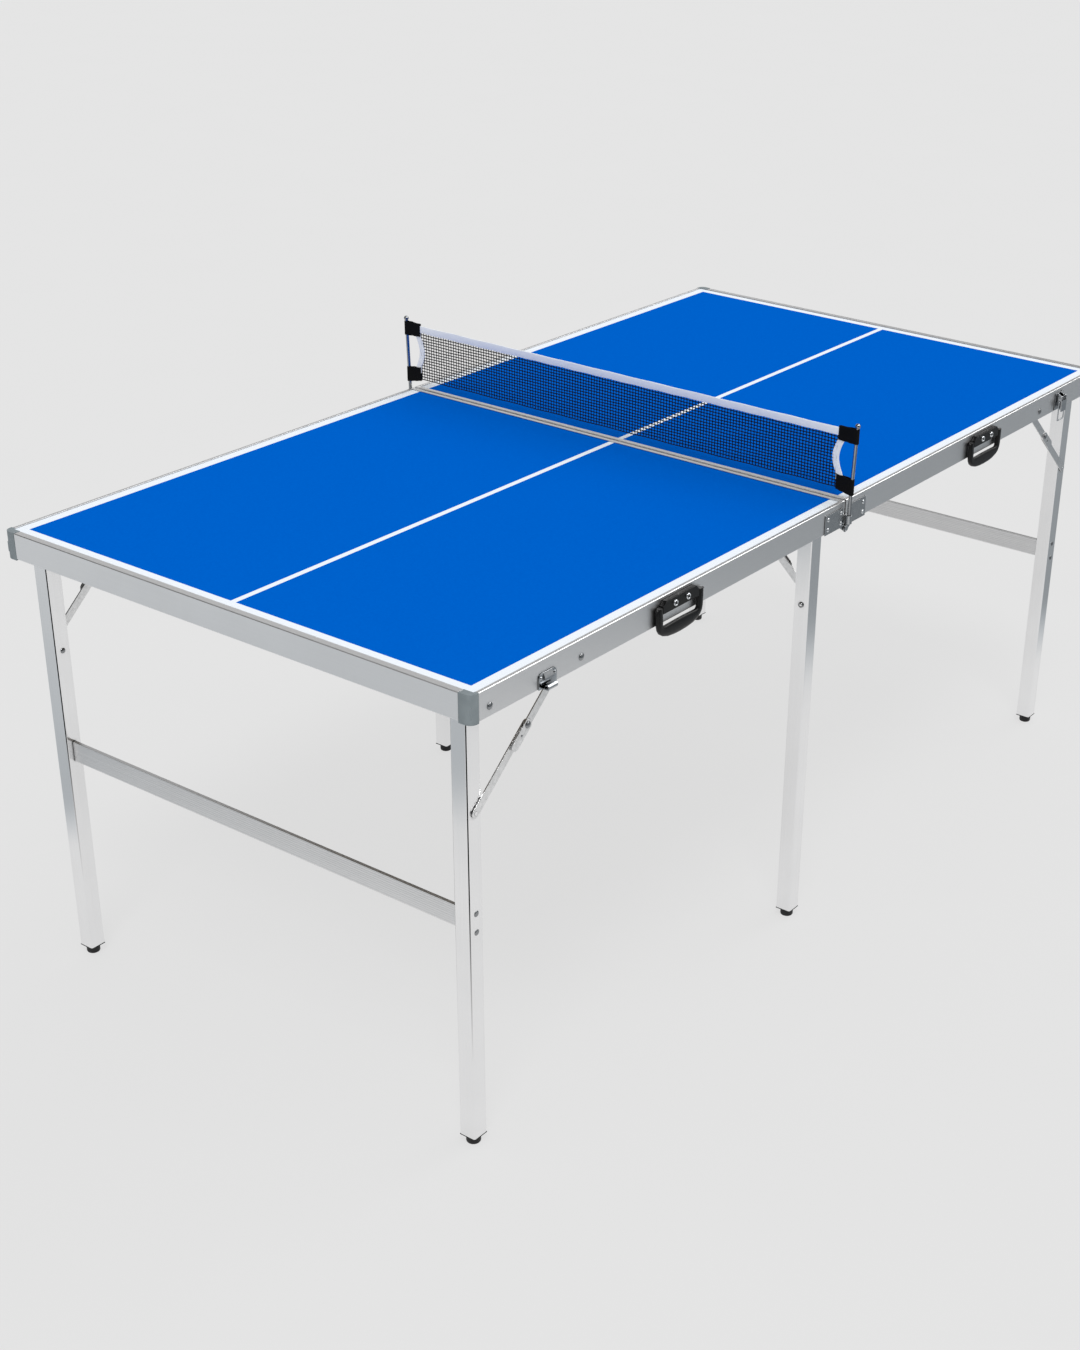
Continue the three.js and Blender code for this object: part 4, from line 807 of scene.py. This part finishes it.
def add_flags(nodes, links, split, level):
    """Dark and light upright stripes all round, which give polished pieces their contrast."""
    turn = nodes.new("ShaderNodeMath")
    turn.operation = "ARCTAN2"
    wave = nodes.new("ShaderNodeMath")
    wave.operation = "MULTIPLY_ADD"
    wave.inputs[1].default_value = FLAG_COUNT
    wave.inputs[2].default_value = FLAG_TURN
    sine = nodes.new("ShaderNodeMath")
    sine.operation = "SINE"
    share = nodes.new("ShaderNodeMapRange")
    for i, value in enumerate((*FLAG_EDGES, FLAG_DARK, 1.0), 1):
        share.inputs[i].default_value = value
    product = nodes.new("ShaderNodeMath")
    product.operation = "MULTIPLY"
    links.new(split.outputs["Y"], turn.inputs[0])
    links.new(split.outputs["X"], turn.inputs[1])
    links.new(turn.outputs[0], wave.inputs[0])
    links.new(wave.outputs[0], sine.inputs[0])
    links.new(sine.outputs[0], share.inputs[0])
    links.new(share.outputs[0], product.inputs[0])
    links.new(level, product.inputs[1])
    return product.outputs[0]


def add_soft_box(nodes, links, place, level):
    """A bright round patch high in the surroundings, which rounded edges show as a pale line."""
    towards = nodes.new("ShaderNodeVectorMath")
    towards.operation = "DOT_PRODUCT"
    towards.inputs[1].default_value = SOFT_BOX_WAY
    share = nodes.new("ShaderNodeMapRange")
    for i, value in enumerate((*SOFT_BOX_EDGES, 0.0, SOFT_BOX_LEVEL), 1):
        share.inputs[i].default_value = value
    total = nodes.new("ShaderNodeMath")
    links.new(place.outputs["Generated"], towards.inputs[0])
    links.new(towards.outputs["Value"], share.inputs[0])
    links.new(share.outputs[0], total.inputs[0])
    links.new(level, total.inputs[1])
    return total.outputs[0]


def add_world():
    """All-round light. What the camera and clear pieces see of it is the backdrop's colour."""
    world = bpy.data.worlds.new("studio")
    bpy.context.scene.world = world
    world.use_nodes = True
    nodes, links = world.node_tree.nodes, world.node_tree.links
    nodes.clear()
    output = nodes.new("ShaderNodeOutputWorld")
    path = nodes.new("ShaderNodeLightPath")
    place = nodes.new("ShaderNodeTexCoord")
    split = nodes.new("ShaderNodeSeparateXYZ")
    links.new(place.outputs["Generated"], split.inputs[0])
    fall = nodes.new("ShaderNodeMapRange")
    links.new(split.outputs["Z"], fall.inputs[0])
    for i, value in enumerate((HORIZON_UP_TO, CEILING_FROM, HORIZON_LEVEL, CEILING_LEVEL), 1):
        fall.inputs[i].default_value = value
    level = add_flags(nodes, links, split, fall.outputs[0])
    level = add_soft_box(nodes, links, place, level)
    for flag, source in (("Is Diffuse Ray", SKY_LEVEL), ("Is Camera Ray", BACKDROP),
                         ("Is Transmission Ray", BACKDROP)):
        pick = nodes.new("ShaderNodeMix")
        links.new(path.outputs[flag], pick.inputs[0])
        links.new(level, pick.inputs[2])
        pick.inputs[3].default_value = source
        level = pick.outputs[0]
    back = nodes.new("ShaderNodeBackground")
    back.inputs[0].default_value = (1, 1, 1, 1)
    links.new(level, back.inputs[1])
    links.new(back.outputs[0], output.inputs[0])


def add_lamps():
    for name, (direction, strength, width) in LAMPS.items():
        data = bpy.data.lights.new(name, "SUN")
        data.energy = strength
        data.angle = math.radians(width)
        lamp = add_object(name, data)
        lamp.rotation_euler = Vector(direction).to_track_quat("-Z", "Y").to_euler()


add_camera()
for node in sorted(frame["nodes"]):
    if node != "net" and not node.endswith("bail"):
        rounded(node)
add_rivets()
add_net()
add_floor()
add_world()
add_lamps()
bpy.context.scene.view_settings.view_transform = "Standard"
